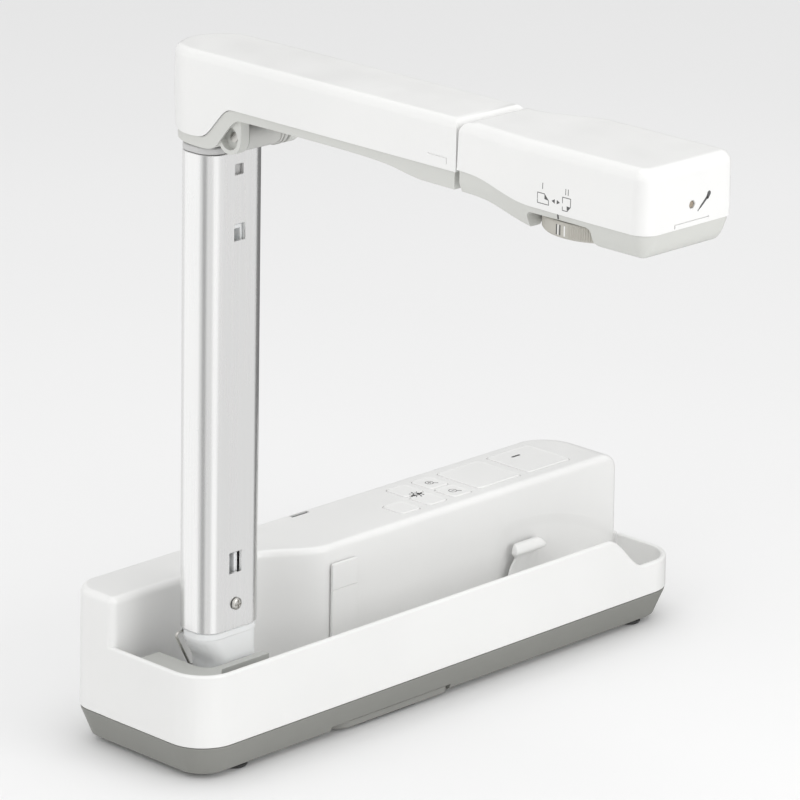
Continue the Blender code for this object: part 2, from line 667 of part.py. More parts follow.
def build_arm():
    white = material("shell_white", (0.86, 0.86, 0.84), 0.38)
    gray = material("arm_gray", (0.62, 0.62, 0.6), 0.42)
    steel = material("steel", (0.55, 0.55, 0.55), 0.3, 1.0)
    outline = arm_outline()
    levels = ((250.0, 1.0), (277.0, 0.0), (292.2, 0.25), (294.3, 0.8), (295.6, 2.1), (ARM_TOP_Z, 4.2))
    top = loft("arm_top_cover", [at_z(inset(outline, d), z) for z, d in levels], white, "arm")
    edge = list(ARM_WHITE_EDGE) + [(-170.0, 276.4), (-170.0, 310.0), (10.0, 310.0)]
    keep(top, prism("keep_arm_top", edge, COL_X - 40, COL_X + 40, "x", None, "arm", True))
    inner = ((245.0, 2.6), (290.0, 2.0), (293.6, 4.0))
    cut(top, loft("cut_arm_top", [at_z(inset(outline, d), z) for z, d in inner], None, "arm", True))
    roll_axis = (COL_X, 0, ROLL_Z)
    cut(top, tunnel("cut_arm_end", roll_axis, SHAFT_R + 0.3, -162, -150, "y", 28, "arm"))

    levels = ((250.0, 1.9), (256.0, 1.6), (277.5, 0.7))
    lower = loft("arm_lower_cover", [at_z(inset(outline, d), z) for z, d in levels], gray, "arm")
    edge = list(ARM_GRAY_EDGE) + [(-170.0, 269.3), (-170.0, 276.1)]
    edge += [(y, z - GAP) for y, z in reversed(ARM_WHITE_EDGE)]
    keep(lower, prism("keep_arm_low", edge, COL_X - 40, COL_X + 40, "x", None, "arm", True))
    floor = [(y, z + 1.9) for y, z in ARM_GRAY_EDGE] + [(-152.0, 271.3), (-152.0, 290.0), (10.0, 290.0)]
    half = ARM_HW - 3.4
    hollow = round_box(COL_X - half, COL_X + half, -152.0, COL_Y + half, (1, 1, 13.9, 13.9), 6)
    inside = prism("cut_arm_low", hollow, 240, 290, "z", None, "arm", True)
    keep(inside, prism("keep_arm_floor", floor, COL_X - 30, COL_X + 30, "x", None, "arm", True))
    cut(lower, inside)
    slot = round_box(COL_X - 12.6, COL_X + 12.6, -47.5, 0.6, (2, 2, 12, 12), 5)
    cut(lower, prism("cut_arm_slot", slot, 240, 290, "z", None, "arm", True))
    for side in (-1, 1):
        ends = sorted((COL_X + side * (BARREL_HL + 0.5), COL_X + side * (ARM_HW - 2.7)))
        lug = [(FOLD_Y - 6.4, 275.6), (FOLD_Y - 6.4, FOLD_Z)]
        lug += arc(FOLD_Y, FOLD_Z, 6.4, 180, 330, 10)
        lug += [(FOLD_Y + 8.0, 268.0), (FOLD_Y + 8.0, 271.0), (FOLD_Y + 3.0, 275.0)]
        join(lower, prism(f"add_lug_{side}", lug, *ends, "x", None, "arm", True))
    pivot = (COL_X, FOLD_Y, FOLD_Z)
    cut(lower, tunnel("cut_lugs", pivot, FOLD_PIN_R + 0.02, -13.6, 13.6, "x", 20, "arm"))
    lathe("fold_pin", pivot, ((FOLD_PIN_R, -13.4), (FOLD_PIN_R, 13.4)), "x", 20, steel, "arm")

    plate = block("roll_bearing", COL_X - 13.6, COL_X + 13.6, -151.6, -148.6, 273.4, 290.8, gray, "arm")
    join(plate, tunnel("add_bearing", roll_axis, 7.6, -151, -144, "y", 28, "arm"))
    cut(plate, tunnel("cut_bearing", roll_axis, SHAFT_R + 0.06, -170, -120, "y", 28, "arm"))


def head_outline():
    left = []
    right = []
    for i in range(9):
        t = i / 8
        y = -163.0 - 30.0 * t
        s = smooth_step(t)
        left.append((COL_X - ARM_HW + (HEAD_X0 - COL_X + ARM_HW) * s, y))
        right.append((COL_X + ARM_HW + (HEAD_X1 - COL_X - ARM_HW) * s, y))
    points = [(COL_X - ARM_HW, HEAD_BACK_Y)] + left
    points += arc(HEAD_X0 + 7, HEAD_Y0 + 7, 7, 180, 270, 6)
    points += arc(HEAD_X1 - 6, HEAD_Y0 + 6, 6, 270, 360, 6)
    points += list(reversed(right)) + [(COL_X + ARM_HW, HEAD_BACK_Y)]
    return points


def build_head():
    white = material("shell_white", (0.86, 0.86, 0.84), 0.38)
    gray = material("head_gray", (0.6, 0.6, 0.58), 0.42)
    board = material("board_green", (0.02, 0.12, 0.05), 0.5)
    outline = head_outline()
    roll_axis = (COL_X, 0, ROLL_Z)
    dial_axis = (DIAL_X, DIAL_Y, 0)
    lamp_axis = (DIAL_X, LAMP_Y, 0)
    mic_at = (MIC_X, HEAD_Y0, MIC_Z)
    levels = ((255.0, 0.8), (276.0, 0.0), (292.0, 0.3), (294.1, 0.9), (295.4, 2.2), (295.8, 4.2))
    top = loft("head_top_cover", [at_z(inset(outline, d), z) for z, d in levels], white, "head")
    edge = list(HEAD_WHITE_EDGE) + [(-260.0, 310.0), (-150.0, 310.0)]
    keep(top, prism("keep_head_top", edge, -170, -50, "x", None, "head", True))
    inner = ((250.0, 2.7), (290.0, 2.1), (293.3, 4.2))
    cut(top, loft("cut_head_top", [at_z(inset(outline, d), z) for z, d in inner], None, "head", True))
    cut(top, tunnel("cut_head_end", roll_axis, SHAFT_R + 0.3, -159.8, -150, "y", 28, "head"))
    cut(top, tunnel("cut_mic", mic_at, 1.5, -3, 6, "y", 16, "head"))

    levels = ((262.4, 5.4), (263.4, 4.2), (266.0, 2.6), (273.0, 0.6), (279.0, 0.6))
    lower = loft("head_lower_cover", [at_z(inset(outline, d), z) for z, d in levels], gray, "head")
    edge = [(-150.0, 269.6), (-168.0, 269.2), (-176.0, 268.0), (-188.0, 264.6), (-195.0, 262.6)]
    edge += [(-196.0, 255.0), (-262.0, 255.0), (-262.0, 271.6)]
    edge += [(y, z - GAP) for y, z in reversed(HEAD_WHITE_EDGE[:-1])]
    keep(lower, prism("keep_head_low", edge, -170, -50, "x", None, "head", True))
    inside = inset(outline, 3.6)
    cut(lower, prism("cut_head_low", inside, 271.2, 290, "z", None, "head", True))
    cut(lower, tunnel("cut_dial", dial_axis, DIAL_R + 0.6, 250, 269.7, "z", 48, "head"))
    notch = (-140, DIAL_X, -226.2, -195.8, 250, 269.7)
    cut(lower, block("cut_notch", *notch, None, "head", True))
    cut(lower, tunnel("cut_dial_bore", dial_axis, HUB_R + 0.06, 260, 280, "z", 28, "head"))
    cut(lower, tunnel("cut_lamp_hole", lamp_axis, 3.3, 255, 280, "z", 20, "head"))

    profile = ((7.4, -166), (7.4, -161.2), (SHAFT_R, -161.2), (SHAFT_R, -141))
    shaft = lathe("roll_shaft", roll_axis, profile, "y", 28, gray, "head")
    flange = (COL_X - 12.5, COL_X + 12.5, -163.6, -161.5, 279.2, 290.4)
    join(shaft, block("add_shaft_plate", *flange, None, "head", True))
    cut(shaft, tunnel("cut_shaft", roll_axis, 3.0, -180, -120, "y", 20, "head"))
    block("camera_board", -124, -94, -236, -190, 280.4, 281.8, board, "head")
    lens = ((2.9, 263.4), (2.9, 271.5), (3.9, 271.6), (3.9, 272.8))
    clear = material("lamp_clear", (0.9, 0.9, 0.85), 0.1)
    lathe("lamp_lens", lamp_axis, lens, "z", 20, clear, "head")
    mic = ((1.2, 0.6), (1.2, 3.6), (2.8, 3.6), (2.8, 6.6))
    black = material("mic_black", (0.02, 0.02, 0.02), 0.6)
    lathe("microphone", mic_at, mic, "y", 16, black, "head")


def build_dial():
    gray = material("dial_gray", (0.42, 0.41, 0.38), 0.5)
    black = material("lens_black", (0.015, 0.015, 0.015), 0.35)
    clear = material("lens_glass", (0.05, 0.05, 0.09), 0.05)
    axis = (DIAL_X, DIAL_Y, 0)
    steps = 96
    rings = ((262.9, -3.0), (263.5, -0.6), (264.2, 0.0), (268.8, 0.0), (269.3, -0.6))
    loops = []
    for z, step_in in rings:
        loop = []
        for i in range(steps):
            angle = 2 * math.pi * i / steps
            r = DIAL_R + step_in
            if i % 2 and step_in == 0.0:
                r -= RIB_DEPTH
            loop.append((DIAL_X + r * math.cos(angle), DIAL_Y + r * math.sin(angle), z))
        loops.append(loop)
    dial = loft("rotation_dial", loops, gray, "dial")
    join(dial, tunnel("add_dial_hub", axis, HUB_R, 268, 275.5, "z", 28, "dial"))
    cone = ((11.5, 262.0), (10.8, 263.2), (6.2, 266.6), (5.1, 266.6), (5.1, 280))
    cut(dial, lathe("cut_dial_cone", axis, cone, "z", 32, None, "dial", True))
    barrel = lathe("lens_barrel", axis, ((4.8, 265.6), (4.8, 276.6)), "z", 28, black, "dial")
    bore = ((3.6, 260), (3.4, 269.0), (2.2, 269.0), (2.2, 280))
    cut(barrel, lathe("cut_lens", axis, bore, "z", 24, None, "dial", True))
    glass = ((0.5, 266.4), (1.8, 266.6), (3.0, 267.1), (3.1, 268.4), (2.0, 268.6))
    lathe("lens_glass", axis, glass, "z", 24, clear, "dial")


def build_support():
    gray = material("support_gray", (0.36, 0.36, 0.35), 0.45)
    points = [(SUPPORT_X0, 22.0), (SUPPORT_X0, -20.0)]
    points += [(SUPPORT_X0 + 0.9, -27.0), (SUPPORT_X0 + 3.6, -32.0), (SUPPORT_X0 + 9.0, -34.6)]
    points += [(SUPPORT_X1 - 3.2, -34.6), (SUPPORT_X1, -31.0), (SUPPORT_X1, 22.0)]
    levels = ((1.5, 0.5), (1.9, 0.0), (4.4, 0.0), (4.8, 0.4))
    loft("support_foot", [at_z(inset(points, d), z) for z, d in levels], gray, "support")
    rubber = material("rubber_black", (0.03, 0.03, 0.03), 0.9)
    pad = round_box(-50.0, -14.0, -32.6, -28.6, 1.6, 4)
    prism("support_pad", pad, 0.3, 1.2, look=rubber, owner="support")


def bake():
    """Turns each piece with its modifiers into a plain mesh, and removes the helpers."""
    bpy.context.view_layer.update()
    graph = bpy.context.evaluated_depsgraph_get()
    baked = []
    for obj in bpy.context.scene.objects:
        if obj.type == "MESH" and not obj.hide_render:
            mesh = bpy.data.meshes.new_from_object(obj.evaluated_get(graph))
            baked.append((obj, mesh))
    for obj, mesh in baked:
        look = obj.data.materials[0]
        obj.modifiers.clear()
        obj.data = mesh
        mesh.name = obj.name
        mesh.materials.clear()
        mesh.materials.append(look)
        mesh.polygons.foreach_set("material_index", [0] * len(mesh.polygons))
        mesh.polygons.foreach_set("use_smooth", [True] * len(mesh.polygons))
        mesh.set_sharp_from_angle(angle=math.radians(32))
        mesh.update()
    for obj in HELPERS:
        bpy.data.objects.remove(obj, do_unlink=True)


def main():
    clear_scene()
    body("base", (0.0, -Y_SHIFT, 0.0))
    body("column", (COL_X, COL_Y, PIVOT_Z), "base")
    body("knuckle", (COL_X, COL_Y, 258.0), "column")
    body("arm", (COL_X, FOLD_Y, FOLD_Z), "knuckle")
    body("head", (COL_X, HEAD_BACK_Y, ROLL_Z), "arm")
    body("dial", (DIAL_X, DIAL_Y, 266.0), "head")
    body("support", ((SUPPORT_X0 + SUPPORT_X1) / 2, 0.0, 3.0), "base")
    build_base()
    build_keys()
    build_column()
    build_knuckle()
    build_arm()
    build_head()
    build_dial()
    build_support()
    bake()


main()
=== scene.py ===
"""Looks for the folding document camera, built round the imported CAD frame.

Design coordinates are the part's own: millimetres, X along the base, the tray facing -Y, the feet on z = 0.
make() moves them by Y_SHIFT and scales them to metres, so each piece lands where the frame has its node.
"""

import math

import bmesh
import bpy
from mathutils import Matrix, Vector


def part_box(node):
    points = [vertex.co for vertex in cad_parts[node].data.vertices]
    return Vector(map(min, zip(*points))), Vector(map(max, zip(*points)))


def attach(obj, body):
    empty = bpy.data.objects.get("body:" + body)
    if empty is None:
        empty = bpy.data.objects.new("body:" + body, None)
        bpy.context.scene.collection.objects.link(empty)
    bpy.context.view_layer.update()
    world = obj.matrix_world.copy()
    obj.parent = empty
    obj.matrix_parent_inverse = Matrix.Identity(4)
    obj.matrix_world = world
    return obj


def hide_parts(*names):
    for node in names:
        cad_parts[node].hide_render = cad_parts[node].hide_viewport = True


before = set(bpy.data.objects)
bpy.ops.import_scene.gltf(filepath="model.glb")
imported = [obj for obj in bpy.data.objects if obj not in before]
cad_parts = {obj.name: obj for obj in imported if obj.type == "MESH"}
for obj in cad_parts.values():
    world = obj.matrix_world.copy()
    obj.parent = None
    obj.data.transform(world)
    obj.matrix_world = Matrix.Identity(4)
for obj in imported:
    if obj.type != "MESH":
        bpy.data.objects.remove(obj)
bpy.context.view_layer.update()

MM = 0.001


def node_box(name):
    """A CAD node's corners in millimetres, in the frame's own coordinates."""
    low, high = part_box(name)
    return [value / MM for value in low], [value / MM for value in high]


def find_y_shift():
    """The base is centred on y = 0 in the design, so its middle gives the shift."""
    low, high = node_box("base_upper_cover")
    return (low[1] + high[1]) / 2


Y_SHIFT = find_y_shift()

# Base
BASE_LOW, BASE_HIGH = node_box("base_upper_cover")
BASE_L = BASE_HIGH[0] - BASE_LOW[0]
BASE_D = BASE_HIGH[1] - BASE_LOW[1]
CORNER_FRONT = 17.0
CORNER_BACK = 12.0
CORNER_BACK_RIGHT = 20.0
SEAM_Z = 15.8
RIM_Z = 46.4
LOW_RIM_Z = 30.1
SCOOP_X0 = 97.0
SCOOP_X1 = 120.5
TOWER_Z = BASE_HIGH[2]
TOWER_Y_LEFT = 12.7
TOWER_Y_RIGHT = -1.6
TOWER_ROUND = (2.7, 3.2)  # reach inwards and down of the rounding along the top edge
TOWER_END_ROUND = (10.0, 8.0)  # the same at the right end
TOWER_LEAN = 0.5
DRAFT = 0.0102  # how far the walls lean in for each millimetre of height
WALL = 2.4
SHELL = 2.2
TRAY_FLOOR_Z = 8.8
SHELF_Z = 17.5
COVER_Z = 2.0
GAP = 0.3

# Column
TUBE_LOW, TUBE_HIGH = node_box("column_tube")
COL_X = (TUBE_LOW[0] + TUBE_HIGH[0]) / 2
COL_Y = (TUBE_LOW[1] + TUBE_HIGH[1]) / 2 - Y_SHIFT
COL_HX = (TUBE_HIGH[0] - TUBE_LOW[0]) / 2
COL_HY = (TUBE_HIGH[1] - TUBE_LOW[1]) / 2
COL_R = 8.0
COL_FACE = COL_Y - COL_HY
TUBE_WALL = 1.5
TUBE_Z0 = TUBE_LOW[2]
TUBE_Z1 = TUBE_HIGH[2]
COLLAR_Z1 = 257.7
PIVOT_Z = 27.0
PIN_R = 2.5
SCREW_X = -111.1
SCREW_Z = 67.3
WINDOWS = (
    (-113.2, -108.6, 245.3, 249.4),
    (-113.4, -107.4, 218.4, 225.2),
    (-114.8, -107.9, 80.4, 89.2),
)

# Arm and knuckle
ARM_HW = 18.6
ARM_TOP_Z = 296.0
ARM_SEAM_Y = -155.9
FOLD_Y = -34.0
FOLD_Z = 264.5
BARREL_R = 6.0
BARREL_HL = 11.0
FOLD_PIN_R = 2.0
SHAFT_R = 5.0
ROLL_Z = 282.6

# Head
HEAD_X0 = -131.8
HEAD_X1 = -82.3
HEAD_Y0 = -251.0
HEAD_BACK_Y = -157.1
HEAD_TOP_Z = 295.8
DIAL_X = -109.4
DIAL_Y = -211.0
DIAL_R = 22.0
HUB_R = 6.5
LAMP_Y = -241.6
MIC_X = -106.8
MIC_Z = 279.8

# Control keys: name, x0, x1, y0, y1
KEYS = (
    ("key_source", 14.6, 26.0, 5.6, 18.0),
    ("key_bright_down", 31.0, 42.4, 5.6, 18.0),
    ("key_bright_up", 31.0, 42.4, 19.6, 32.0),
    ("key_zoom_out", 46.4, 57.8, 5.6, 18.0),
    ("key_zoom_in", 46.4, 57.8, 19.6, 32.0),
    ("key_focus", 62.4, 89.2, 6.2, 32.0),
    ("key_freeze", 94.0, 120.8, 6.2, 32.0),
)
KEY_GAP = 0.45
KEY_STEM_Z = 59.2
KEY_RISE = 0.45
KEY_SINK = 0.2

SUPPORT_X0 = -66.8
SUPPORT_X1 = 2.8
FEET = ((-115.0, -27.6), (124.0, -27.6), (-115.0, 26.0), (124.0, 26.0))
SCREWS = ((-90.0, -27.0), (60.0, -27.0), (-90.0, 30.5), (60.0, 30.5))

# Lower edges of the arm's and the head's covers, seen from the side: y, z
ARM_WHITE_EDGE = (
    (10.0, 264.8), (-2.0, 263.2), (-10.0, 262.5), (-18.5, 262.5), (-23.0, 263.8),
    (-31.2, 273.0), (-34.0, 275.6), (-37.2, 276.8), (-43.0, 276.8),
)
ARM_GRAY_EDGE = (
    (10.0, 259.6), (-4.0, 258.9), (-12.0, 258.4), (-20.0, 258.1), (-25.0, 258.6),
    (-28.2, 260.6), (-36.5, 270.6), (-39.5, 272.6), (-43.0, 273.1), (-96.0, 273.1),
    (-120.0, 272.4), (-131.0, 270.4), (-138.0, 269.6),
)
HEAD_WHITE_EDGE = (
    (-150.0, 277.6), (-163.0, 277.4), (-170.0, 276.6), (-180.0, 274.4), (-190.0, 272.5),
    (-199.0, 272.1), (-260.0, 271.9),
)
HEAD_GRAY_EDGE = (
    (-150.0, 269.6), (-168.0, 269.2), (-176.0, 268.0), (-188.0, 264.6), (-195.0, 262.6),
)

# Shallow recess behind the clip: x, z
RECESS = (
    (142.4, 18.5), (142.0, 29.0), (133.0, 35.5), (123.0, 40.3), (113.0, 43.8), (102.0, 46.6),
    (91.0, 48.3), (80.0, 49.0), (74.0, 48.4), (69.0, 45.6), (66.6, 41.0), (66.0, 30.0),
    (67.0, 18.5),
)

HELPERS = []
PIECES = []


# --- mesh tools


def add_object(name, data):
    obj = bpy.data.objects.new(name, data)
    bpy.context.scene.collection.objects.link(obj)
    return obj


def make(verts, faces):
    """A mesh object from design millimetres, closed and with its normals outwards."""
    mesh = bpy.data.meshes.new("shape")
    points = [(x * MM, (y + Y_SHIFT) * MM, z * MM) for x, y, z in verts]
    mesh.from_pydata(points, [], faces)
    bm = bmesh.new()
    bm.from_mesh(mesh)
    bmesh.ops.recalc_face_normals(bm, faces=bm.faces)
    bm.to_mesh(mesh)
    bm.free()
    return add_object("shape", mesh)


def loft(loops):
    """A closed body through loops of equal length, capped at both ends."""
    count = len(loops[0])
    verts = [point for loop in loops for point in loop]
    faces = [tuple(range(count)), tuple(range(len(verts) - count, len(verts)))]
    for level in range(len(loops) - 1):
        a = level * count
        b = a + count
        for i in range(count):
            j = (i + 1) % count
            faces.append((a + i, a + j, b + j, b + i))
    return make(verts, faces)


def arc(cx, cy, r, start, end, steps):
    """Points on an arc, with angles in degrees."""
    points = []
    for i in range(steps + 1):
        angle = math.radians(start + (end - start) * i / steps)
        points.append((cx + r * math.cos(angle), cy + r * math.sin(angle)))
    return points


def round_box(x0, x1, y0, y1, radii, steps=10):
    """A rounded rectangle; radii are front left, front right, back right, back left."""
    if not isinstance(radii, (tuple, list)):
        radii = (radii,) * 4
    fl, fr, br, bl = radii
    points = arc(x0 + fl, y0 + fl, fl, 180, 270, steps)
    points += arc(x1 - fr, y0 + fr, fr, 270, 360, steps)
    points += arc(x1 - br, y1 - br, br, 0, 90, steps)
    points += arc(x0 + bl, y1 - bl, bl, 90, 180, steps)
    return points


def inset(points, d):
    """Moves each point of a counter-clockwise outline inwards by d."""
    count = len(points)
    moved = []
    for i, (x, y) in enumerate(points):
        ax, ay = points[i - 1]
        bx, by = points[(i + 1) % count]
        la = math.hypot(x - ax, y - ay) or 1.0
        lb = math.hypot(bx - x, by - y) or 1.0
        nx = -(y - ay) / la - (by - y) / lb
        ny = (x - ax) / la + (bx - x) / lb
        length = math.hypot(nx, ny)
        cosine = max(length / 2, 0.5)
        moved.append((x + nx / length * d / cosine, y + ny / length * d / cosine))
    return moved


def counter_clockwise(points):
    area = 0.0
    for (ax, ay), (bx, by) in zip(points, points[1:] + points[:1]):
        area += ax * by - bx * ay
    return points if area > 0 else list(reversed(points))


def soften(points, rounds=3, closed=False):
    """Cuts the corners of a line again and again, which turns it into a smooth curve."""
    for _ in range(rounds):
        ends = list(zip(points, points[1:]))
        if closed:
            ends.append((points[-1], points[0]))
        cut_points = [] if closed else [points[0]]
        for a, b in ends:
            cut_points.append(tuple(p * 0.75 + q * 0.25 for p, q in zip(a, b)))
            cut_points.append(tuple(p * 0.25 + q * 0.75 for p, q in zip(a, b)))
        if not closed:
            cut_points.append(points[-1])
        points = cut_points
    return points


def at_z(points, z):
    return [(x, y, z) for x, y in points]


def stack(outline, levels):
    """A body whose outline is inset by d at each height z; levels are (z, d)."""
    return loft([at_z(inset(outline, d), z) for z, d in levels])


def stack_y(outline, levels):
    """The same for an XZ outline; levels are (y, d)."""
    return loft([[(x, y, z) for x, z in inset(outline, d)] for y, d in levels])


def rounded_top(z0, d0, z1, d1, steps=8):
    """Levels of a quarter ellipse from the side wall at (z0, d0) up to the top face at (z1, d1)."""
    levels = []
    for i in range(steps + 1):
        angle = math.radians(90 * i / steps)
        z = z0 + (z1 - z0) * math.sin(angle)
        d = d0 + (d1 - d0) * (1 - math.cos(angle))
        levels.append((z, d))
    return levels


def prism(points, low, high, axis="z"):
    """A straight prism: points are XY for z, XZ for y and YZ for x."""
    loops = []
    for h in (low, high):
        if axis == "z":
            loops.append([(u, v, h) for u, v in points])
        elif axis == "y":
            loops.append([(u, h, v) for u, v in points])
        else:
            loops.append([(h, u, v) for u, v in points])
    return loft(loops)


def block(x0, x1, y0, y1, z0, z1):
    return prism([(x0, y0), (x1, y0), (x1, y1), (x0, y1)], z0, z1)


def lathe(centre, profile, axis="z", steps=64):
    """A solid of revolution; profile is (radius, height) pairs from one end to the other."""
    cx, cy, cz = centre
    loops = []
    for radius, height in profile:
        ring = arc(0, 0, max(radius, 0.01), 0, 360 - 360 / steps, steps - 1)
        if axis == "z":
            loops.append([(cx + u, cy + v, cz + height) for u, v in ring])
        elif axis == "y":
            loops.append([(cx + u, cy + height, cz + v) for u, v in ring])
        else:
            loops.append([(cx + height, cy + u, cz + v) for u, v in ring])
    return loft(loops)


def tunnel(centre, radius, low, high, axis="z", steps=48):
    return lathe(centre, ((radius, low), (radius, high)), axis, steps)


def tube_along(path, radius, steps=16):
    """A round rod through points, with rounded ends."""
    loops = []
    for i, point in enumerate(path):
        before = Vector(path[max(i - 1, 0)])
        after = Vector(path[min(i + 1, len(path) - 1)])
        along = (after - before).normalized()
        side = along.cross(Vector((0.0, 1.0, 0.0))).normalized()
        other = along.cross(side)
        ring = []
        for k in range(steps):
            angle = 2 * math.pi * k / steps
            out = side * math.cos(angle) + other * math.sin(angle)
            ring.append(tuple(Vector(point) + out * radius))
        loops.append(ring)
    return loft(loops)


def combine(target, tool, operation):
    modifier = target.modifiers.new(operation.lower(), "BOOLEAN")
    modifier.object = tool
    modifier.operation = operation
    modifier.solver = "EXACT"
    HELPERS.append(tool)


def cut(target, tool):
    combine(target, tool, "DIFFERENCE")


def join(target, tool):
    combine(target, tool, "UNION")


def keep(target, tool):
    combine(target, tool, "INTERSECT")


def smooth_step(t):
    t = min(max(t, 0.0), 1.0)
    return t * t * (3 - 2 * t)


def piece(obj, name, look, rides_on, *nodes, slot=None, angle=32.0):
    """Registers a finished piece: its look, its body, the CAD nodes it stands for and its slot."""
    obj.name = name
    PIECES.append((obj, LOOKS[look], rides_on, slot or look, nodes, angle))


def apply_modifiers():
    """Turns each piece with its booleans into a plain mesh, and removes the cutters."""
    bpy.context.view_layer.update()
    graph = bpy.context.evaluated_depsgraph_get()
    baked = []
    for entry in PIECES:
        obj = entry[0]
        mesh = bpy.data.meshes.new_from_object(obj.evaluated_get(graph))
        baked.append((entry, mesh))
    for entry, mesh in baked:
        obj, look, rides_on, slot, nodes, angle = entry
        obj.modifiers.clear()
        obj.data = mesh
        mesh.materials.clear()
        mesh.materials.append(look)
        mesh.polygons.foreach_set("material_index", [0] * len(mesh.polygons))
        mesh.polygons.foreach_set("use_smooth", [True] * len(mesh.polygons))
        mesh.set_sharp_from_angle(angle=math.radians(angle))
        mesh.update()
        weighted = obj.modifiers.new("weighted", "WEIGHTED_NORMAL")
        weighted.keep_sharp = True
        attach(obj, rides_on)
        if nodes:
            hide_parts(*nodes)
    for helper in HELPERS:
        bpy.data.objects.remove(helper, do_unlink=True)


# --- materials


def set_values(node, values):
    for key, value in values.items():
        node.inputs[key].default_value = value


def shade(rgb, factor):
    return tuple(min(c * factor, 1.0) for c in rgb)


class Look:
    """A material being built, and the noises that vary its colour, gloss and surface."""

    def __init__(self, name, metallic=0.0):
        self.material = bpy.data.materials.new(name)
        self.material.use_nodes = True
        self.nodes = self.material.node_tree.nodes
        self.links = self.material.node_tree.links
        self.shader = self.nodes["Principled BSDF"]
        self.shader.inputs["Metallic"].default_value = metallic

    def noise(self, scale, detail=2.0, stretch=None):
        """Noise over the object's own metres; stretch squeezes the pattern along some axes."""
        coords = self.nodes.new("ShaderNodeTexCoord")
        mapping = self.nodes.new("ShaderNodeMapping")
        if stretch is not None:
            mapping.inputs["Scale"].default_value = stretch
        noise = self.nodes.new("ShaderNodeTexNoise")
        set_values(noise, {"Scale": scale, "Detail": detail})
        self.links.new(coords.outputs["Object"], mapping.inputs["Vector"])
        self.links.new(mapping.outputs["Vector"], noise.inputs["Vector"])
        return noise.outputs["Fac"]

    def gloss(self, source, low, high):
        """Spreads the middle of a noise over a roughness of low to high."""
        spread = self.nodes.new("ShaderNodeMapRange")
        set_values(spread, {"From Min": 0.3, "From Max": 0.7, "To Min": low, "To Max": high})
        self.links.new(source, spread.inputs["Value"])
        self.links.new(spread.outputs["Result"], self.shader.inputs["Roughness"])

    def tint(self, source, rgb_a, rgb_b):
        """Lets the colour drift between two tones."""
        ramp = self.nodes.new("ShaderNodeValToRGB")
        for stop, position, rgb in zip(ramp.color_ramp.elements, (0.35, 0.65), (rgb_a, rgb_b)):
            stop.position = position
            stop.color = (*rgb, 1.0)
        self.links.new(source, ramp.inputs["Fac"])
        self.links.new(ramp.outputs["Color"], self.shader.inputs["Base Color"])

    def bump(self, source, strength, depth):
        bump = self.nodes.new("ShaderNodeBump")
        set_values(bump, {"Strength": strength, "Distance": depth})
        self.links.new(source, bump.inputs["Height"])
        self.links.new(bump.outputs["Normal"], self.shader.inputs["Normal"])


def plastic(name, rgb, rough, grain=0.12, size=0.0005, spread=0.05, vary=0.02, coat=0.0):
    """Moulded plastic: fine spark-eroded grain, slightly uneven gloss and a faint drift of colour."""
    look = Look(name)
    look.tint(look.noise(14.0, 3.0), shade(rgb, 1 - vary), shade(rgb, 1 + vary * 0.5))
    look.gloss(look.noise(60.0, 4.0), rough - spread, rough + spread)
    look.bump(look.noise(1.0 / size), grain, 0.00005)
    set_values(look.shader, {"IOR": 1.49, "Coat Weight": coat, "Coat Roughness": 0.12})
    return look.material


def milky(name, rgb):
    """Slightly translucent natural plastic of the column's foot."""
    material = plastic(name, rgb, 0.3, grain=0.06, size=0.0007)
    radius = (1.0, 0.95, 0.9)
    values = {"Subsurface Weight": 0.25, "Subsurface Radius": radius, "Subsurface Scale": 0.002}
    set_values(material.node_tree.nodes["Principled BSDF"], values)
    return material


def anodised(name, rgb, rough):
    """Satin anodised extrusion: long fine die lines along the tube and a slightly uneven sheen."""
    look = Look(name, 1.0)
    look.tint(look.noise(900.0, 3.0, (1.0, 1.0, 0.006)), shade(rgb, 0.98), rgb)
    look.gloss(look.noise(300.0, 3.0, (1.0, 1.0, 0.05)), rough - 0.02, rough + 0.03)
    look.bump(look.noise(2600.0, 2.0, (1.0, 1.0, 0.12)), 0.04, 0.00002)
    return look.material


def metal(name, rgb, rough, size=0.0003):
    """Plated or turned steel with fine tool marks."""
    look = Look(name, 1.0)
    marks = look.noise(1.0 / size, 3.0)
    look.tint(marks, shade(rgb, 0.85), rgb)
    look.gloss(marks, rough - 0.07, rough + 0.1)
    look.bump(marks, 0.15, 0.00003)
    return look.material


def rubber(name, rgb):
    """Matt rubber with a coarse grain and a little dust."""
    look = Look(name)
    dust = look.noise(90.0, 4.0)
    look.tint(dust, rgb, tuple(c * 1.6 + 0.01 for c in rgb))
    look.gloss(dust, 0.78, 0.92)
    look.bump(look.noise(1600.0, 4.0), 0.4, 0.00008)
    return look.material


def circuit_board(name):
    """Green solder mask over copper tracks."""
    look = Look(name)
    coords = look.nodes.new("ShaderNodeTexCoord")
    bricks = look.nodes.new("ShaderNodeTexBrick")
    values = {
        "Scale": 260.0,
        "Mortar Size": 0.03,
        "Color1": (0.012, 0.1, 0.04, 1.0),
        "Color2": (0.018, 0.14, 0.05, 1.0),
        "Mortar": (0.05, 0.22, 0.08, 1.0),
    }
    set_values(bricks, values)
    look.links.new(coords.outputs["Object"], bricks.inputs["Vector"])
    look.links.new(bricks.outputs["Color"], look.shader.inputs["Base Color"])
    look.gloss(look.noise(120.0), 0.25, 0.4)
    look.bump(bricks.outputs["Fac"], 0.3, 0.00005)
    return look.material


def clear_glass(name, rgb, rough):
    """Moulded clear lens with faint ripples."""
    look = Look(name)
    set_values(look.shader, {"Transmission Weight": 1.0, "IOR": 1.49})
    ripple = look.noise(500.0)
    look.tint(ripple, rgb, shade(rgb, 1.04))
    look.gloss(ripple, rough, rough + 0.05)
    look.bump(ripple, 0.05, 0.00005)
    return look.material


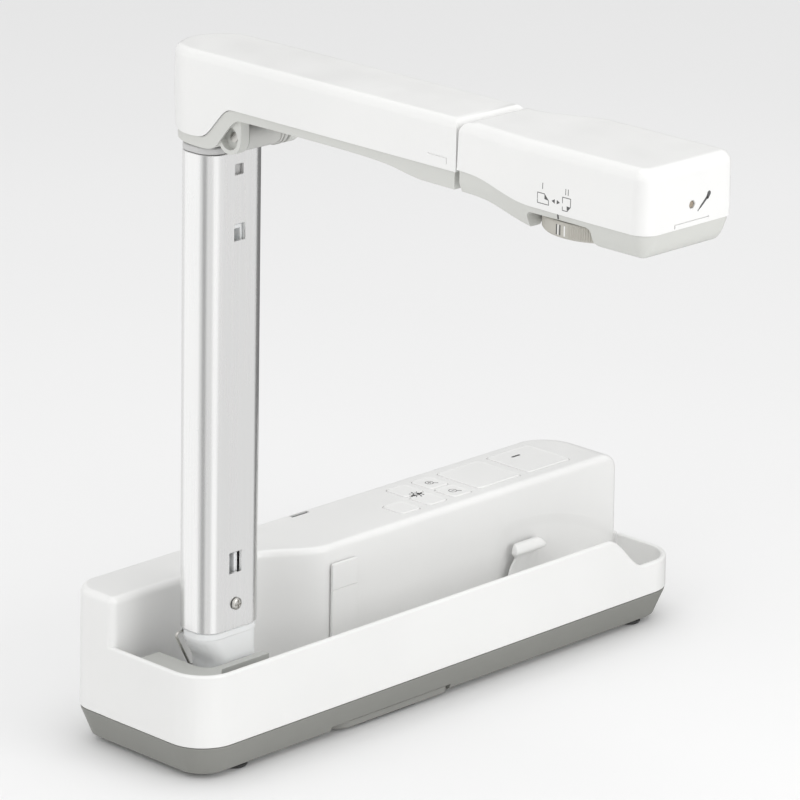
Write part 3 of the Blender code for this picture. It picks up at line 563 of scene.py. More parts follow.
LOOKS = {
    "shell_white": plastic("shell_white_abs", (0.8, 0.8, 0.79), 0.36, coat=0.15),
    "key_white": plastic("key_white_abs", (0.79, 0.79, 0.78), 0.42, grain=0.08),
    "cover_gray": plastic("cover_warm_gray", (0.245, 0.246, 0.228), 0.5, grain=0.3),
    "trim_gray": plastic("trim_mid_gray", (0.46, 0.465, 0.445), 0.45),
    "arm_gray": plastic("arm_pale_gray", (0.6, 0.605, 0.577), 0.42),
    "collar_gray": plastic("collar_pale_gray", (0.55, 0.55, 0.545), 0.42),
    "knuckle_gray": plastic("knuckle_gray", (0.55, 0.55, 0.53), 0.4),
    "dial_gray": plastic("dial_warm_gray", (0.46, 0.445, 0.4), 0.5, grain=0.2),
    "support_gray": plastic("support_gray", (0.25, 0.25, 0.233), 0.45, grain=0.2),
    "bracket_dark": plastic("bracket_dark", (0.07, 0.07, 0.068), 0.5, grain=0.25, vary=0.1),
    "black_plastic": plastic("black_plastic", (0.02, 0.02, 0.02), 0.45, vary=0.15),
    "foot_white": milky("foot_milky_white", (0.82, 0.83, 0.83)),
    "tube_aluminium": anodised("tube_anodised", (0.8, 0.8, 0.795), 0.26),
    "steel": metal("steel_plated", (0.62, 0.61, 0.58), 0.3),
    "ballast_iron": metal("ballast_iron", (0.2, 0.2, 0.21), 0.55, 0.0008),
    "rubber_black": rubber("rubber_black", (0.03, 0.03, 0.03)),
    "circuit_board": circuit_board("circuit_board"),
    "window_dark": plastic("window_dark", (0.03, 0.03, 0.035), 0.15, grain=0.02, vary=0.1),
    "lens_clear": clear_glass("lens_clear", (0.92, 0.92, 0.9), 0.04),
    "print_dark": plastic("print_dark_gray", (0.09, 0.09, 0.09), 0.5, grain=0.1, vary=0.12),
    "mic_mesh": plastic("mic_mesh_beige", (0.3, 0.25, 0.19), 0.6, grain=0.6, size=0.0004, vary=0.2),
}


# --- base


def tower_front(x):
    """The control tower's front wall, which steps back at the left to clear the folded head."""
    t = smooth_step((x + 66.0) / 30.0)
    return TOWER_Y_LEFT + (TOWER_Y_RIGHT - TOWER_Y_LEFT) * t


TOWER_HEIGHTS = (
    58.0, 59.3, 60.0, 60.7, 61.4, 62.1, 62.8, 63.4, 64.0, 64.5, 65.0, 65.4, 65.8, 66.1, 66.4,
    66.65, 66.85, 67.02, 67.15, 67.25, TOWER_Z,
)


def rounding(z, sizes):
    """How far the top rounding has come inwards at height z."""
    reach, depth = sizes
    t = (z - TOWER_Z + depth) / depth
    return 0.0 if t <= 0 else reach * (1 - math.sqrt(max(1 - t * t, 0.0)))


def tower_face(z):
    """Where the front wall of the tower's right part is at height z."""
    return TOWER_Y_RIGHT + TOWER_LEAN * (z - SEAM_Z) / (TOWER_Z - TOWER_ROUND[1] - SEAM_Z)


def tower_level(z, d=0.0):
    """The control tower's outline at height z, inset by a further d."""
    lean = TOWER_LEAN * min(max(z - SEAM_Z, 0.0) / (TOWER_Z - TOWER_ROUND[1] - SEAM_Z), 1.0)
    edge = lean + rounding(z, TOWER_ROUND) + d
    end = lean + rounding(z, TOWER_END_ROUND) + d
    x0 = -BASE_L / 2 + edge
    x1 = BASE_L / 2 - end
    back = BASE_D / 2 - edge
    left = TOWER_Y_LEFT + edge
    right = TOWER_Y_RIGHT + edge
    r = max(4.0 - edge, 0.8)
    points = arc(x0 + r, left + r, r, 180, 270, 8)
    for i in range(41):
        x = -68.0 + 34.0 * i / 40
        points.append((x, tower_front(x) + edge))
    r = max(4.0 - end * 0.3, 0.8)
    points += arc(x1 - r, right + r, r, 270, 360, 10)
    r = CORNER_BACK_RIGHT - end * 0.6
    points += arc(x1 - r, back - r, r, 0, 90, 20)
    r = CORNER_BACK - edge
    points += arc(x0 + r, back - r, r, 90, 180, 12)
    return points


def base_outline():
    half = BASE_L / 2
    back = BASE_D / 2
    radii = (CORNER_FRONT, CORNER_FRONT, CORNER_BACK_RIGHT, CORNER_BACK)
    return round_box(-half, half, -back, back, radii, 16)


def rim_height(x):
    t = smooth_step((x - SCOOP_X0) / (SCOOP_X1 - SCOOP_X0))
    return RIM_Z + (LOW_RIM_Z - RIM_Z) * t


def wall_section(top):
    """The tray wall's section as (distance inwards, height), from the seam over the rim to the shelf."""
    lean = DRAFT * (top - SEAM_Z)
    outer = 1.15
    inner = 0.85
    points = [(0.25, SEAM_Z), (0.0, SEAM_Z + 0.25)]
    for i in range(7):
        angle = math.radians(15 * i)
        points.append((lean + outer * (1 - math.cos(angle)), top - outer * (1 - math.sin(angle))))
    for i in range(7):
        angle = math.radians(15 * i)
        points.append((WALL + 0.1 - inner * (1 - math.sin(angle)), top - inner * (1 - math.cos(angle))))
    points.append((WALL + 0.1, SHELF_Z + 1.2))
    points.append((WALL + 0.6, SHELF_Z + 0.3))
    points.append((WALL + 1.4, SHELF_Z - 0.3))
    return points


def wall_path():
    """The tray wall's run, from inside the tower's left end round the front to its right end."""
    half = BASE_L / 2
    front = -BASE_D / 2
    r = CORNER_FRONT
    points = [(-half, y) for y in (TOWER_Y_LEFT + 9.0, TOWER_Y_LEFT + 4.9, TOWER_Y_LEFT + 4.1)]
    points += arc(-half + r, front + r, r, 180, 270, 18)
    x = SCOOP_X0 - 1.0
    while x < SCOOP_X1 + 1.0:
        points.append((x, front))
        x += 0.8
    points += arc(half - r, front + r, r, 270, 360, 18)
    points += [(half, y) for y in (TOWER_Y_RIGHT + 4.1, TOWER_Y_RIGHT + 4.9, TOWER_Y_RIGHT + 10.0)]
    return points


def build_wall():
    """The tray wall swept along its run, with the scooped rim at the right."""
    path = wall_path()
    half = BASE_L / 2
    closing = [(half, BASE_D / 2 - 2), (-half, BASE_D / 2 - 2)]
    tucked = (0, 1, len(path) - 2, len(path) - 1)
    loops = []
    for i, (x, y) in enumerate(path):
        along_front = y < -BASE_D / 2 + 0.5
        top = rim_height(x) if along_front or x > 0 else RIM_Z
        loop = []
        for d, z in wall_section(top):
            depth = max(d, 0.7) if i in tucked else d
            px, py = inset(path + closing, depth)[i]
            loop.append((px, py, z))
        loops.append(loop)
    return loft(loops)


def recess_outline(d):
    points = soften(list(RECESS[1:-1]), 2)
    return inset([RECESS[0]] + points + [RECESS[-1]], d)


def cut_tower_details(cover):
    steps = ((-2.0, -3.0), (-0.05, -3.0), (0.02, -1.8), (0.08, -0.5), (0.17, 0.8), (0.24, 2.0), (0.27, 3.0))
    loops = []
    for dy, d in steps:
        loops.append([(x, tower_face(z) + dy, z) for x, z in recess_outline(d)])
    cut(cover, loft(loops))
    for name, x0, x1, y0, y1 in KEYS:
        g = KEY_GAP
        well = round_box(x0 - g, x1 + g, y0 - g, y1 + g, 2.4, 6)
        levels = (
            (TOWER_Z - 5.0, 0.0),
            (TOWER_Z - 0.35, 0.0),
            (TOWER_Z - 0.12, -0.07),
            (TOWER_Z, -0.24),
            (TOWER_Z + 0.2, -0.6),
        )
        cut(cover, stack(well, levels))
    port = round_box(84.0, 96.6, 24.0, 35.6, 1.2, 4)
    levels = ((34.0, 0.0), (BASE_D / 2 - 0.9, 0.0), (BASE_D / 2 - 0.5, -0.35), (45.0, -0.7))
    cut(cover, stack_y(port, levels))
    lamp = round_box(-22.6, -12.0, 34.3, 36.6, 0.8, 4)
    cut(cover, prism(lamp, 63.0, 70.0))
    cut(cover, lathe((83, -5.2, 14), ((1.6, 0), (1.6, 9)), steps=24))


def build_upper_cover():
    cover = build_wall()
    slab = inset(base_outline(), 1.3)
    join(cover, prism(slab, SEAM_Z + 0.12, SHELF_Z))
    loops = [at_z(tower_level(SEAM_Z, 0.25), SEAM_Z + 0.06), at_z(tower_level(SEAM_Z), SEAM_Z + 0.3)]
    for z in TOWER_HEIGHTS:
        loops.append(at_z(tower_level(z), z))
    join(cover, loft(loops))
    tub = round_box(-135.6, 137.2, -31.8, -0.4, 7, 6)
    join(cover, prism(tub, TRAY_FLOOR_Z - 1.6, SHELF_Z - 0.4))
    trough = round_box(-134.2, 135.8, -30.4, -1.9, 6, 8)
    low = TRAY_FLOOR_Z
    levels = ((low, 2.4), (low + 0.2, 1.4), (low + 0.8, 0.5), (low + 1.8, 0.0))
    levels += ((SHELF_Z - 0.5, 0.0), (SHELF_Z - 0.1, -0.1), (SHELF_Z + 0.05, -0.22), (SHELF_Z + 1, -0.22))
    cut(cover, stack(trough, levels))
    bay = round_box(-131.4, -90.6, -1.7, 4.0, 1, 3)
    join(cover, prism(bay, TRAY_FLOOR_Z - 1.6, SHELF_Z - 0.3))
    bay = round_box(-130.0, -92.0, -4.0, 2.6, 1, 3)
    cut(cover, prism(bay, TRAY_FLOOR_Z, SHELF_Z + 1.5))
    hollow = []
    for z, above in ((3.0, 13.0), (57.5, 0.5), (62.0, 1.1), (TOWER_Z - SHELL, 1.1)):
        hollow.append(at_z(tower_level(z + above, SHELL + 0.2), z))
    cut(cover, loft(hollow))
    cut_tower_details(cover)
    piece(cover, "tray_and_tower", "shell_white", "base", "base_upper_cover", angle=28.0)


def build_lower_cover():
    low = base_outline()
    levels = (
        (COVER_Z, 8.0),
        (COVER_Z + 0.1, 6.9),
        (COVER_Z + 0.5, 5.9),
        (COVER_Z + 1.2, 4.9),
        (SEAM_Z - GAP - 1.2, 0.42),
        (SEAM_Z - GAP - 0.4, 0.28),
        (SEAM_Z - GAP - 0.1, 0.42),
        (SEAM_Z - GAP, 0.75),
    )
    cover = stack(low, levels)
    levels = ((COVER_Z + 1.8, 7.3), (SEAM_Z + 1, 2.4))
    cut(cover, stack(low, levels))
    join(cover, block(-69.4, 5.4, -30.6, 27, COVER_Z + 0.3, 6.8))
    channel = round_box(SUPPORT_X0 - 0.4, SUPPORT_X1 + 0.4, -46, 25, 1.0, 4)
    levels = ((-1.0, -0.5), (COVER_Z + 0.05, -0.5), (COVER_Z + 0.5, 0.0), (5.2, 0.0))
    cut(cover, stack(channel, levels))
    for x, y in FEET:
        profile = ((6.4, 0.0), (6.4, 2.05), (5.9, 2.3), (5.9, 2.6), (2.4, 2.6), (2.4, 9))
        cut(cover, lathe((x, y, 0), profile, steps=32))
    for x, y in SCREWS:
        profile = ((3.5, 0.0), (3.1, 2.3), (1.7, 2.3), (1.7, 9))
        cut(cover, lathe((x, y, 0), profile, steps=24))
    piece(cover, "underside_pan", "cover_gray", "base", "base_lower_cover", angle=28.0)


def surround_outline(d):
    """L-shaped plate left of and in front of the column foot, inset by d."""
    x0 = -BASE_L / 2 + WALL + 0.4 + d
    y0 = -BASE_D / 2 + WALL + 0.5 + d
    r = CORNER_FRONT - WALL - 0.4 - d
    points = [(x0, 3.4 - d)]
    points += arc(x0 + r, y0 + r, r, 180, 248, 12)
    points.append((-131.0 - d * 0.3, y0 + 0.1))
    points.append((-123.0, -28.2 + d * 0.35))
    points.append((-96.6 - d * 0.2, -28.2 + d * 0.35))
    points.append((-96.6 - d * 0.2, -24.5 - d * 0.35))
    points += reversed(arc(-121.2, -17.8, 6.7 + d, 180, 270, 10))
    points.append((-127.9 - d, 3.4 - d))
    return points


def build_surround():
    top = 43.5
    levels = ((SHELF_Z + 0.3, 0.0), (top - 0.45, 0.0), (top - 0.13, 0.13), (top, 0.45))
    loops = [at_z(surround_outline(d), z) for z, d in levels]
    plate = loft(loops)
    hollow = [(-141.0, 1.6), (-141.0, -20.0), (-138.0, -27.5)]
    hollow += [(-132.0, -31.0), (-130.0, -31.0), (-130.0, 1.6)]
    cut(plate, prism(hollow, 10, top - 2.0))
    cut(plate, block(-129.4, -90, -32, -10, 10, 35.5))
    piece(plate, "foot_trim", "trim_gray", "base", "foot_surround")


def clip_section(z, x0, front, back, bend, x1):
    """The leaf seen from above: free at x0, curving back and down into the tower's wall from bend to x1."""
    near = []
    far = []
    for i in range(25):
        x = x0 + (x1 - x0) * i / 24
        t = smooth_step((x - bend) / (x1 - bend))
        height = z - max(z - 36.5, 0.0) * 0.85 * t
        near.append((x, front + (-0.9 - front) * t, height))
        far.append((x, back + (-0.3 - back) * t, height))
    near[0] = (x0, front + 0.35, z)
    near.insert(1, (x0 + 0.12, front + 0.1, z))
    near.insert(2, (x0 + 0.4, front, z))
    return near + list(reversed(far))


def build_clip():
    """The springy hook of the tray: its left edge is notched below a thick rolled lip."""
    leaf = (
        (18.0, 70.2, -5.6, -4.6, 76.0, 96.0),
        (24.0, 70.2, -5.5, -4.6, 76.0, 96.0),
        (29.0, 70.6, -5.4, -4.5, 76.0, 96.0),
        (32.0, 71.8, -5.4, -4.5, 77.0, 96.0),
        (34.0, 73.4, -5.5, -4.5, 79.0, 96.0),
        (35.4, 74.2, -5.7, -4.6, 82.0, 96.0),
        (36.3, 73.9, -6.1, -4.7, 85.0, 96.0),
        (37.0, 73.0, -6.8, -4.8, 88.0, 96.0),
        (37.6, 72.4, -7.6, -4.9, 90.0, 95.8),
        (38.2, 72.2, -8.1, -4.9, 91.0, 95.6),
        (38.9, 72.3, -8.2, -4.9, 91.0, 95.4),
        (39.8, 72.6, -7.8, -4.8, 90.5, 95.0),
        (40.7, 73.0, -7.1, -4.7, 90.0, 94.4),
        (41.5, 73.5, -6.2, -4.6, 89.0, 93.6),
        (42.2, 74.2, -5.1, -4.5, 88.0, 92.6),
    )
    clip = loft([clip_section(*row) for row in leaf])
    join(clip, block(73.0, 93.0, -7.4, -2.3, SHELF_Z - 8.4, 18.6))
    piece(clip, "storage_clip", "shell_white", "base", "arm_clip", angle=40.0)


def build_wall_pad():
    """Raised plate on the tower's front wall, with a step across it; it clears the folded tube."""
    front = -3.1
    back = TOWER_Y_RIGHT - 0.3
    outline = round_box(-35.4, -20.4, 19.0, 59.3, 1.2, 6)
    levels = ((back, 0.0), (front + 0.5, 0.0), (front + 0.15, 0.14), (front, 0.5))
    plate = stack_y(outline, levels)
    for z in (47.8, 24.0):
        cut(plate, block(-36.0, -20.0, front - 1.0, front + 0.35, z, z + 0.5))
    piece(plate, "wall_plate", "shell_white", "base", "wall_pad")


def build_keys():
    for name, x0, x1, y0, y1 in KEYS:
        face = round_box(x0, x1, y0, y1, 2.0, 8)
        levels = [(TOWER_Z - 3.4, 0.0), (TOWER_Z - 0.8, 0.0), (TOWER_Z - 0.5, -0.33)]
        levels += [(TOWER_Z - 0.35, -0.33), (TOWER_Z - 0.25, 0.0)]
        levels += rounded_top(TOWER_Z + KEY_RISE - 0.6, 0.0, TOWER_Z + KEY_RISE, 0.7, 6)
        levels += [(TOWER_Z + KEY_RISE - 0.05, 1.0), (TOWER_Z + KEY_RISE - KEY_SINK, 1.5)]
        key = stack(face, levels)
        low = TOWER_Z - SHELL - 0.4
        lip = 0.7 if x1 - x0 < 15 else 1.1
        flange = round_box(x0 - lip, x1 + lip, y0 - lip, y1 + lip, 2.0, 4)
        join(key, prism(flange, low - 1.2, low))
        cx = (x0 + x1) / 2
        cy = (y0 + y1) / 2
        stem = round_box(cx - 1.5, cx + 1.5, cy - 1.5, cy + 1.5, 0.4, 2)
        join(key, prism(stem, KEY_STEM_Z, low - 1))
        piece(key, name + "_cap", "key_white", name, name)


def build_support():
    points = [(SUPPORT_X0, 22.0), (SUPPORT_X0, -20.0)]
    points += arc(SUPPORT_X0 + 12.6, -22.0, 12.6, 180, 270, 16)
    points += arc(SUPPORT_X1 - 3.2, -31.4, 3.2, 270, 360, 8)
    points.append((SUPPORT_X1, 22.0))
    levels = ((1.5, 0.9), (1.6, 0.5), (1.9, 0.12), (2.2, 0.0), (4.1, 0.0), (4.5, 0.12), (4.8, 0.6))
    foot = stack(points, levels)
    piece(foot, "support_slab", "support_gray", "support", "support_foot")
    pad = round_box(-50.0, -14.0, -32.6, -28.6, 1.9, 10)
    levels = ((0.3, 0.7), (0.36, 0.35), (0.6, 0.0), (1.2, 0.0))
    sole = stack(pad, levels)
    piece(sole, "support_sole", "rubber_black", "support", "support_pad")


def build_feet():
    for i, (x, y) in enumerate(FEET):
        profile = ((3.9, 0.0), (4.6, 0.04), (5.1, 0.3), (5.4, 0.8), (5.4, 1.7), (2.1, 1.7), (2.1, 5.2))
        foot = lathe((x, y, 0), profile)
        ring = lathe((x, y, 0), ((2.2, -1), (2.0, 0.25)), steps=40)
        cut(foot, ring)
        piece(foot, f"foot_{i + 1}", "rubber_black", "base", f"rubber_foot_{i + 1}")
    for i, (x, y) in enumerate(SCREWS):
        profile = ((1.6, 0.95), (2.3, 1.02), (2.6, 1.25), (2.6, 1.7), (1.4, 1.7), (1.4, 6.4))
        screw = lathe((x, y, 0), profile, steps=40)
        for w, h in ((0.35, 1.6), (1.6, 0.35)):
            cut(screw, block(x - w, x + w, y - h, y + h, 0.0, 1.4))
        piece(screw, f"base_screw_{i + 1}", "steel", "base", f"bottom_screw_{i + 1}")


# --- column and knuckle


def column_section(d, steps=16):
    """The column's rounded rectangle, inset by d."""
    hx = COL_HX - d
    hy = COL_HY - d
    return round_box(COL_X - hx, COL_X + hx, COL_Y - hy, COL_Y + hy, COL_R - d, steps)


def column_loft(levels):
    return loft([at_z(column_section(d), z) for z, d in levels])


def build_tube():
    """The aluminium extrusion, with chamfered ends, three slots and the screw hole."""
    levels = ((TUBE_Z0, 0.3), (TUBE_Z0 + 0.3, 0.0), (TUBE_Z1 - 0.25, 0.0), (TUBE_Z1, 0.25))
    tube = column_loft(levels)
    inner = column_section(TUBE_WALL)
    cut(tube, prism(inner, TUBE_Z0 - 5, TUBE_Z1 + 5))
    levels = ((COL_FACE + 3, 0.0), (COL_FACE + 0.22, 0.0), (COL_FACE - 0.5, -0.72))
    for x0, x1, z0, z1 in WINDOWS:
        cut(tube, stack_y(round_box(x0, x1, z0, z1, 0.25, 3), levels))
    cut(tube, tunnel((SCREW_X, COL_FACE, SCREW_Z), 1.8, -3, 3, "y", 32))
    piece(tube, "aluminium_tube", "tube_aluminium", "column", "column_tube", angle=30.0)


def build_foot():
    """The moulded foot: a collar band under the tube, then a body with a slanted left facet."""
    right = COL_X + 16.0
    top = TUBE_Z0 - GAP
    slant = ((10.0, 9.6), (41.0, 9.6), (42.4, 9.8), (43.8, 10.3), (45.5, 11.2), (51.6, 14.8), (52.8, 15.3))
    slant += ((53.6, 15.5), (top - 0.4, 15.5))
    hy = COL_HY - 0.95
    r = COL_R - 0.95
    loops = []
    for z, reach in slant:
        section = round_box(COL_X - reach, COL_X + COL_HX - 0.95, COL_Y - hy, COL_Y + hy, r, 16)
        loops.append(at_z(section, z))
    foot = loft(loops)
    sides = [(right, top), (COL_X - 17.0, top), (COL_X - 17.0, 33.0)]
    sides += arc(COL_X, PIVOT_Z, 12.6, 155, 360, 32)
    sides.append((right, 36.0))
    keep(foot, prism(sides, -60, 60, "y"))
    band = ((53.3, 1.1), (53.5, 0.75), (53.8, 0.6), (top - 0.3, 0.6), (top, 0.9))
    join(foot, column_loft(band))
    plug = column_section(TUBE_WALL + 0.35)
    join(foot, prism(plug, TUBE_Z0 - 2, 78.0))
    for x in (-113.6, -109.4):
        finger = round_box(x - 0.9, x + 0.9, 76, 92, 0.4, 3)
        join(foot, prism(finger, -21.4, -16, "y"))
    cut(foot, tunnel((COL_X, COL_Y, PIVOT_Z), PIN_R + 0.06, -20, 20, "y"))
    cut(foot, tunnel((SCREW_X, COL_FACE, SCREW_Z), 1.3, -3, 7, "y", 24))
    hole = (COL_X - 17, COL_X - 11.2, COL_Y + 4.4, COL_Y + 6.4, 53.9, 55.9)
    cut(foot, block(*hole))
    piece(foot, "tube_foot", "foot_white", "column", "column_foot", angle=25.0)


def build_wire():
    """Bent wire beside the slanted facet of the column foot."""
    y = COL_Y + 5.4
    bends = (
        (COL_X - 12.0, 54.9),
        (COL_X - 15.6, 54.9),
        (COL_X - 17.9, 54.6),
        (COL_X - 18.2, 53.2),
        (COL_X - 16.6, 50.3),
        (COL_X - 11.5, 41.1),
        (COL_X - 10.9, 39.4),
    )
    path = [(x, y, z) for x, z in soften(list(bends), 2)]
    wire = tube_along(path, 0.55)
    piece(wire, "lock_rod", "steel", "column", "lock_wire")


def build_screw():
    at = (SCREW_X, COL_FACE, SCREW_Z)
    profile = (
        (0.6, -1.5), (1.5, -1.42), (2.2, -1.15), (2.55, -0.75), (2.6, -0.35), (1.0, -0.35),
        (1.0, 6.0),
    )
    screw = lathe(at, profile, "y", 48)
    for w, h in ((0.38, 1.75), (1.75, 0.38)):
        box = (SCREW_X - w, SCREW_X + w, COL_FACE - 4, COL_FACE - 0.85, SCREW_Z - h, SCREW_Z + h)
        cut(screw, block(*box))
    piece(screw, "tube_screw", "steel", "column", "column_screw")


def build_collar():
    z0 = TUBE_Z1 + GAP
    levels = ((z0, 0.25), (z0 + 0.2, 0.05), (COLLAR_Z1 - 0.9, 0.05))
    levels += tuple(rounded_top(COLLAR_Z1 - 0.9, 0.05, COLLAR_Z1, 1.1, 5)[1:])
    collar = column_loft(levels)
    plug = column_section(TUBE_WALL + 0.35)
    join(collar, prism(plug, 243.6, TUBE_Z1 + 0.6))
    centre = (COL_X, COL_Y, 0)
    cut(collar, tunnel(centre, 4.06, 230, 270))
    cut(collar, tunnel(centre, 7.4, 230, 249))
    piece(collar, "tube_collar", "collar_gray", "column", "column_collar")


def build_knuckle():
    """Round flange, neck with a curved rib, and the barrel with thin fins at its right."""
    centre = (COL_X, COL_Y, 0)
    pivot = (COL_X, FOLD_Y, FOLD_Z)
    z0 = COLLAR_Z1 + GAP
    profile = ((8.0, z0), (9.3, z0 + 0.1), (9.6, z0 + 0.4), (9.6, 260.9), (9.4, 261.7), (8.6, 262.4))
    swivel = lathe(centre, profile)
    join(swivel, tunnel(centre, 4.0, 246.5, 260))
    neck = [(COL_Y + 2.0, 259.6), (COL_Y + 2.0, 263.6), (FOLD_Y + 8, 267.2), (FOLD_Y + 3, 269.4)]
    neck += [(FOLD_Y, 270.2), (FOLD_Y, 259.6)]
    join(swivel, prism(neck, COL_X - 6.5, COL_X + 6.5, "x"))
    hub = (
        (BARREL_R - 0.5, -BARREL_HL),
        (BARREL_R, -BARREL_HL + 0.5),
        (BARREL_R, BARREL_HL - 0.5),
        (BARREL_R - 0.5, BARREL_HL),
    )
    join(swivel, lathe(pivot, hub, "x", 64))
    for x in (COL_X + 8.6, COL_X + 6.8):
        fin = arc(FOLD_Y, FOLD_Z, BARREL_R + 0.45, 150, 300, 24) + [(FOLD_Y + 2, FOLD_Z + 1)]
        join(swivel, prism(fin, x - 0.35, x + 0.35, "x"))
    cut(swivel, tunnel(pivot, FOLD_PIN_R + 0.06, -30, 30, "x", 32))
    piece(swivel, "swivel", "knuckle_gray", "knuckle", "swivel_block")


# --- arm


def arm_outline(seam_y):
    points = [(COL_X - ARM_HW, seam_y), (COL_X + ARM_HW, seam_y)]
    points += arc(COL_X, COL_Y, ARM_HW, 0, 180, 48)
    return points


def curve_below(edge, drop=0.0):
    return [(y, z - drop) for y, z in soften(list(edge), 3)]


def build_arm_top():
    outline = arm_outline(ARM_SEAM_Y - 0.3)
    levels = [(250.0, 1.0), (277.0, 0.0)]
    levels += rounded_top(292.2, 0.25, ARM_TOP_Z, 4.0, 12)
    top = stack(outline, levels)
    edge = curve_below(ARM_WHITE_EDGE)
    edge += [(-170.0, 276.4), (-170.0, 310.0), (10.0, 310.0)]
    keep(top, prism(edge, COL_X - 40, COL_X + 40, "x"))
    inner = ((245.0, 2.6), (290.0, 2.0), (293.0, 4.2))
    cut(top, stack(outline, inner))
    roll_axis = (COL_X, 0, ROLL_Z)
    cut(top, tunnel(roll_axis, SHAFT_R + 0.3, -162, -150, "y"))
    mark = [(-142.0, 281.2), (-151.7, 281.1), (-151.7, 278.7)]
    mark += [(-151.3, 278.7), (-151.3, 280.7), (-142.0, 280.8)]
    x = COL_X - ARM_HW
    cut(top, prism(mark, x - 1.0, x + 0.32, "x"))
    piece(top, "arm_shell", "shell_white", "arm", "arm_top_cover", angle=28.0)


def build_arm_lower():
    outline = arm_outline(ARM_SEAM_Y)
    levels = ((250.0, 1.9), (256.0, 1.6), (277.5, 0.7))
    lower = stack(outline, levels)
    edge = curve_below(ARM_GRAY_EDGE) + [(-170.0, 269.3), (-170.0, 276.1)]
    edge += list(reversed(curve_below(ARM_WHITE_EDGE, 0.25)))
    keep(lower, prism(edge, COL_X - 40, COL_X + 40, "x"))
    floor = [(y, z + 1.9) for y, z in curve_below(ARM_GRAY_EDGE)]
    floor += [(-152.0, 271.3), (-152.0, 290.0), (10.0, 290.0)]
    half = ARM_HW - 3.4
    hollow = round_box(COL_X - half, COL_X + half, -152.0, COL_Y + half, (1, 1, 13.9, 13.9), 16)
    inside = prism(hollow, 240, 290)
    keep(inside, prism(floor, COL_X - 30, COL_X + 30, "x"))
    cut(lower, inside)
    slot = round_box(COL_X - 12.6, COL_X + 12.6, -47.5, 0.6, (2, 2, 12, 12), 12)
    cut(lower, prism(slot, 240, 290))
    for side in (-1, 1):
        ends = sorted((COL_X + side * (BARREL_HL + 0.5), COL_X + side * (ARM_HW - 2.7)))
        lug = [(FOLD_Y - 6.4, 275.6), (FOLD_Y - 6.4, FOLD_Z)]
        lug += arc(FOLD_Y, FOLD_Z, 6.4, 180, 330, 28)
        lug += [(FOLD_Y + 8.0, 268.0), (FOLD_Y + 8.0, 271.0), (FOLD_Y + 3.0, 275.0)]
        join(lower, prism(lug, *ends, "x"))
    pivot = (COL_X, FOLD_Y, FOLD_Z)
    cut(lower, tunnel(pivot, FOLD_PIN_R + 0.02, -13.6, 13.6, "x", 32))
    cut(lower, tunnel(pivot, 4.7, -16.5, -13.0, "x", 40))
    piece(lower, "arm_under_shell", "arm_gray", "arm", "arm_lower_cover", angle=28.0)


# --- head


def head_outline(back_y):
    left = []
    right = []
    for i in range(21):
        t = i / 20
        y = -163.0 - 30.0 * t
        s = smooth_step(t)
        left.append((COL_X - ARM_HW + (HEAD_X0 - COL_X + ARM_HW) * s, y))
        right.append((COL_X + ARM_HW + (HEAD_X1 - COL_X - ARM_HW) * s, y))
    points = [(COL_X - ARM_HW, back_y)] + left
    points += arc(HEAD_X0 + 7, HEAD_Y0 + 7, 7, 180, 270, 14)
    points += arc(HEAD_X1 - 6, HEAD_Y0 + 6, 6, 270, 360, 14)
    points += list(reversed(right)) + [(COL_X + ARM_HW, back_y)]
    return points


def build_head_top():
    outline = head_outline(HEAD_BACK_Y + 0.3)
    levels = [(255.0, 0.8), (276.0, 0.0)]
    levels += rounded_top(291.4, 0.3, HEAD_TOP_Z, 4.6, 12)
    top = stack(outline, levels)
    edge = curve_below(HEAD_WHITE_EDGE) + [(-260.0, 310.0), (-150.0, 310.0)]
    keep(top, prism(edge, -170, -50, "x"))
    inner = ((250.0, 2.7), (290.0, 2.1), (292.8, 4.4))
    cut(top, stack(outline, inner))
    cut(top, tunnel((COL_X, 0, ROLL_Z), SHAFT_R + 0.3, -159.8, -150, "y"))
    mic = ((2.4, -2.0), (1.9, 0.0), (1.5, 0.35), (1.5, 6.0))
    cut(top, lathe((MIC_X, HEAD_Y0, MIC_Z), mic, "y", 40))
    y = HEAD_Y0
    cut(top, block(-116.0, -97.5, y - 1, y + 0.6, 273.7, 274.1))
    cut(top, block(-116.4, -115.7, y - 1, y + 0.6, 272.4, 274.1))
    piece(top, "head_shell", "shell_white", "head", "head_top_cover", angle=28.0)


def build_head_lower():
    outline = head_outline(HEAD_BACK_Y)
    dial_axis = (DIAL_X, DIAL_Y, 0)
    levels = ((262.4, 5.8), (262.5, 5.3), (262.9, 4.6), (263.6, 3.9), (265.0, 3.0), (266.8, 2.2))
    levels += ((270.0, 1.2), (273.0, 0.6), (279.0, 0.6))
    lower = stack(outline, levels)
    edge = curve_below(HEAD_GRAY_EDGE) + [(-196.0, 255.0), (-262.0, 255.0), (-262.0, 271.6)]
    edge += list(reversed(curve_below(HEAD_WHITE_EDGE[:-1], 0.25)))
    keep(lower, prism(edge, -170, -50, "x"))
    cut(lower, prism(inset(outline, 3.6), 271.2, 290))
    cut(lower, tunnel(dial_axis, DIAL_R + 0.6, 250, 269.7, "z", 96))
    notch = round_box(-223.6, -192.6, 240.0, 269.7, (0.5, 0.5, 2.2, 2.2), 6)
    cut(lower, prism(notch, -140, DIAL_X, "x"))
    cut(lower, tunnel(dial_axis, HUB_R + 0.06, 260, 280))
    cut(lower, tunnel((DIAL_X, LAMP_Y, 0), 3.3, 255, 280, "z", 40))
    piece(lower, "head_under_shell", "arm_gray", "head", "head_lower_cover", angle=28.0)


def dial_radius(degrees, ribbed):
    """The rim is ribbed except where the index marks and the smooth grip are."""
    if not ribbed or 150.0 < degrees < 187.0:
        return DIAL_R
    phase = (degrees % 2.5) / 2.5
    return DIAL_R - 0.4 * (0.5 - 0.5 * math.cos(2 * math.pi * phase))


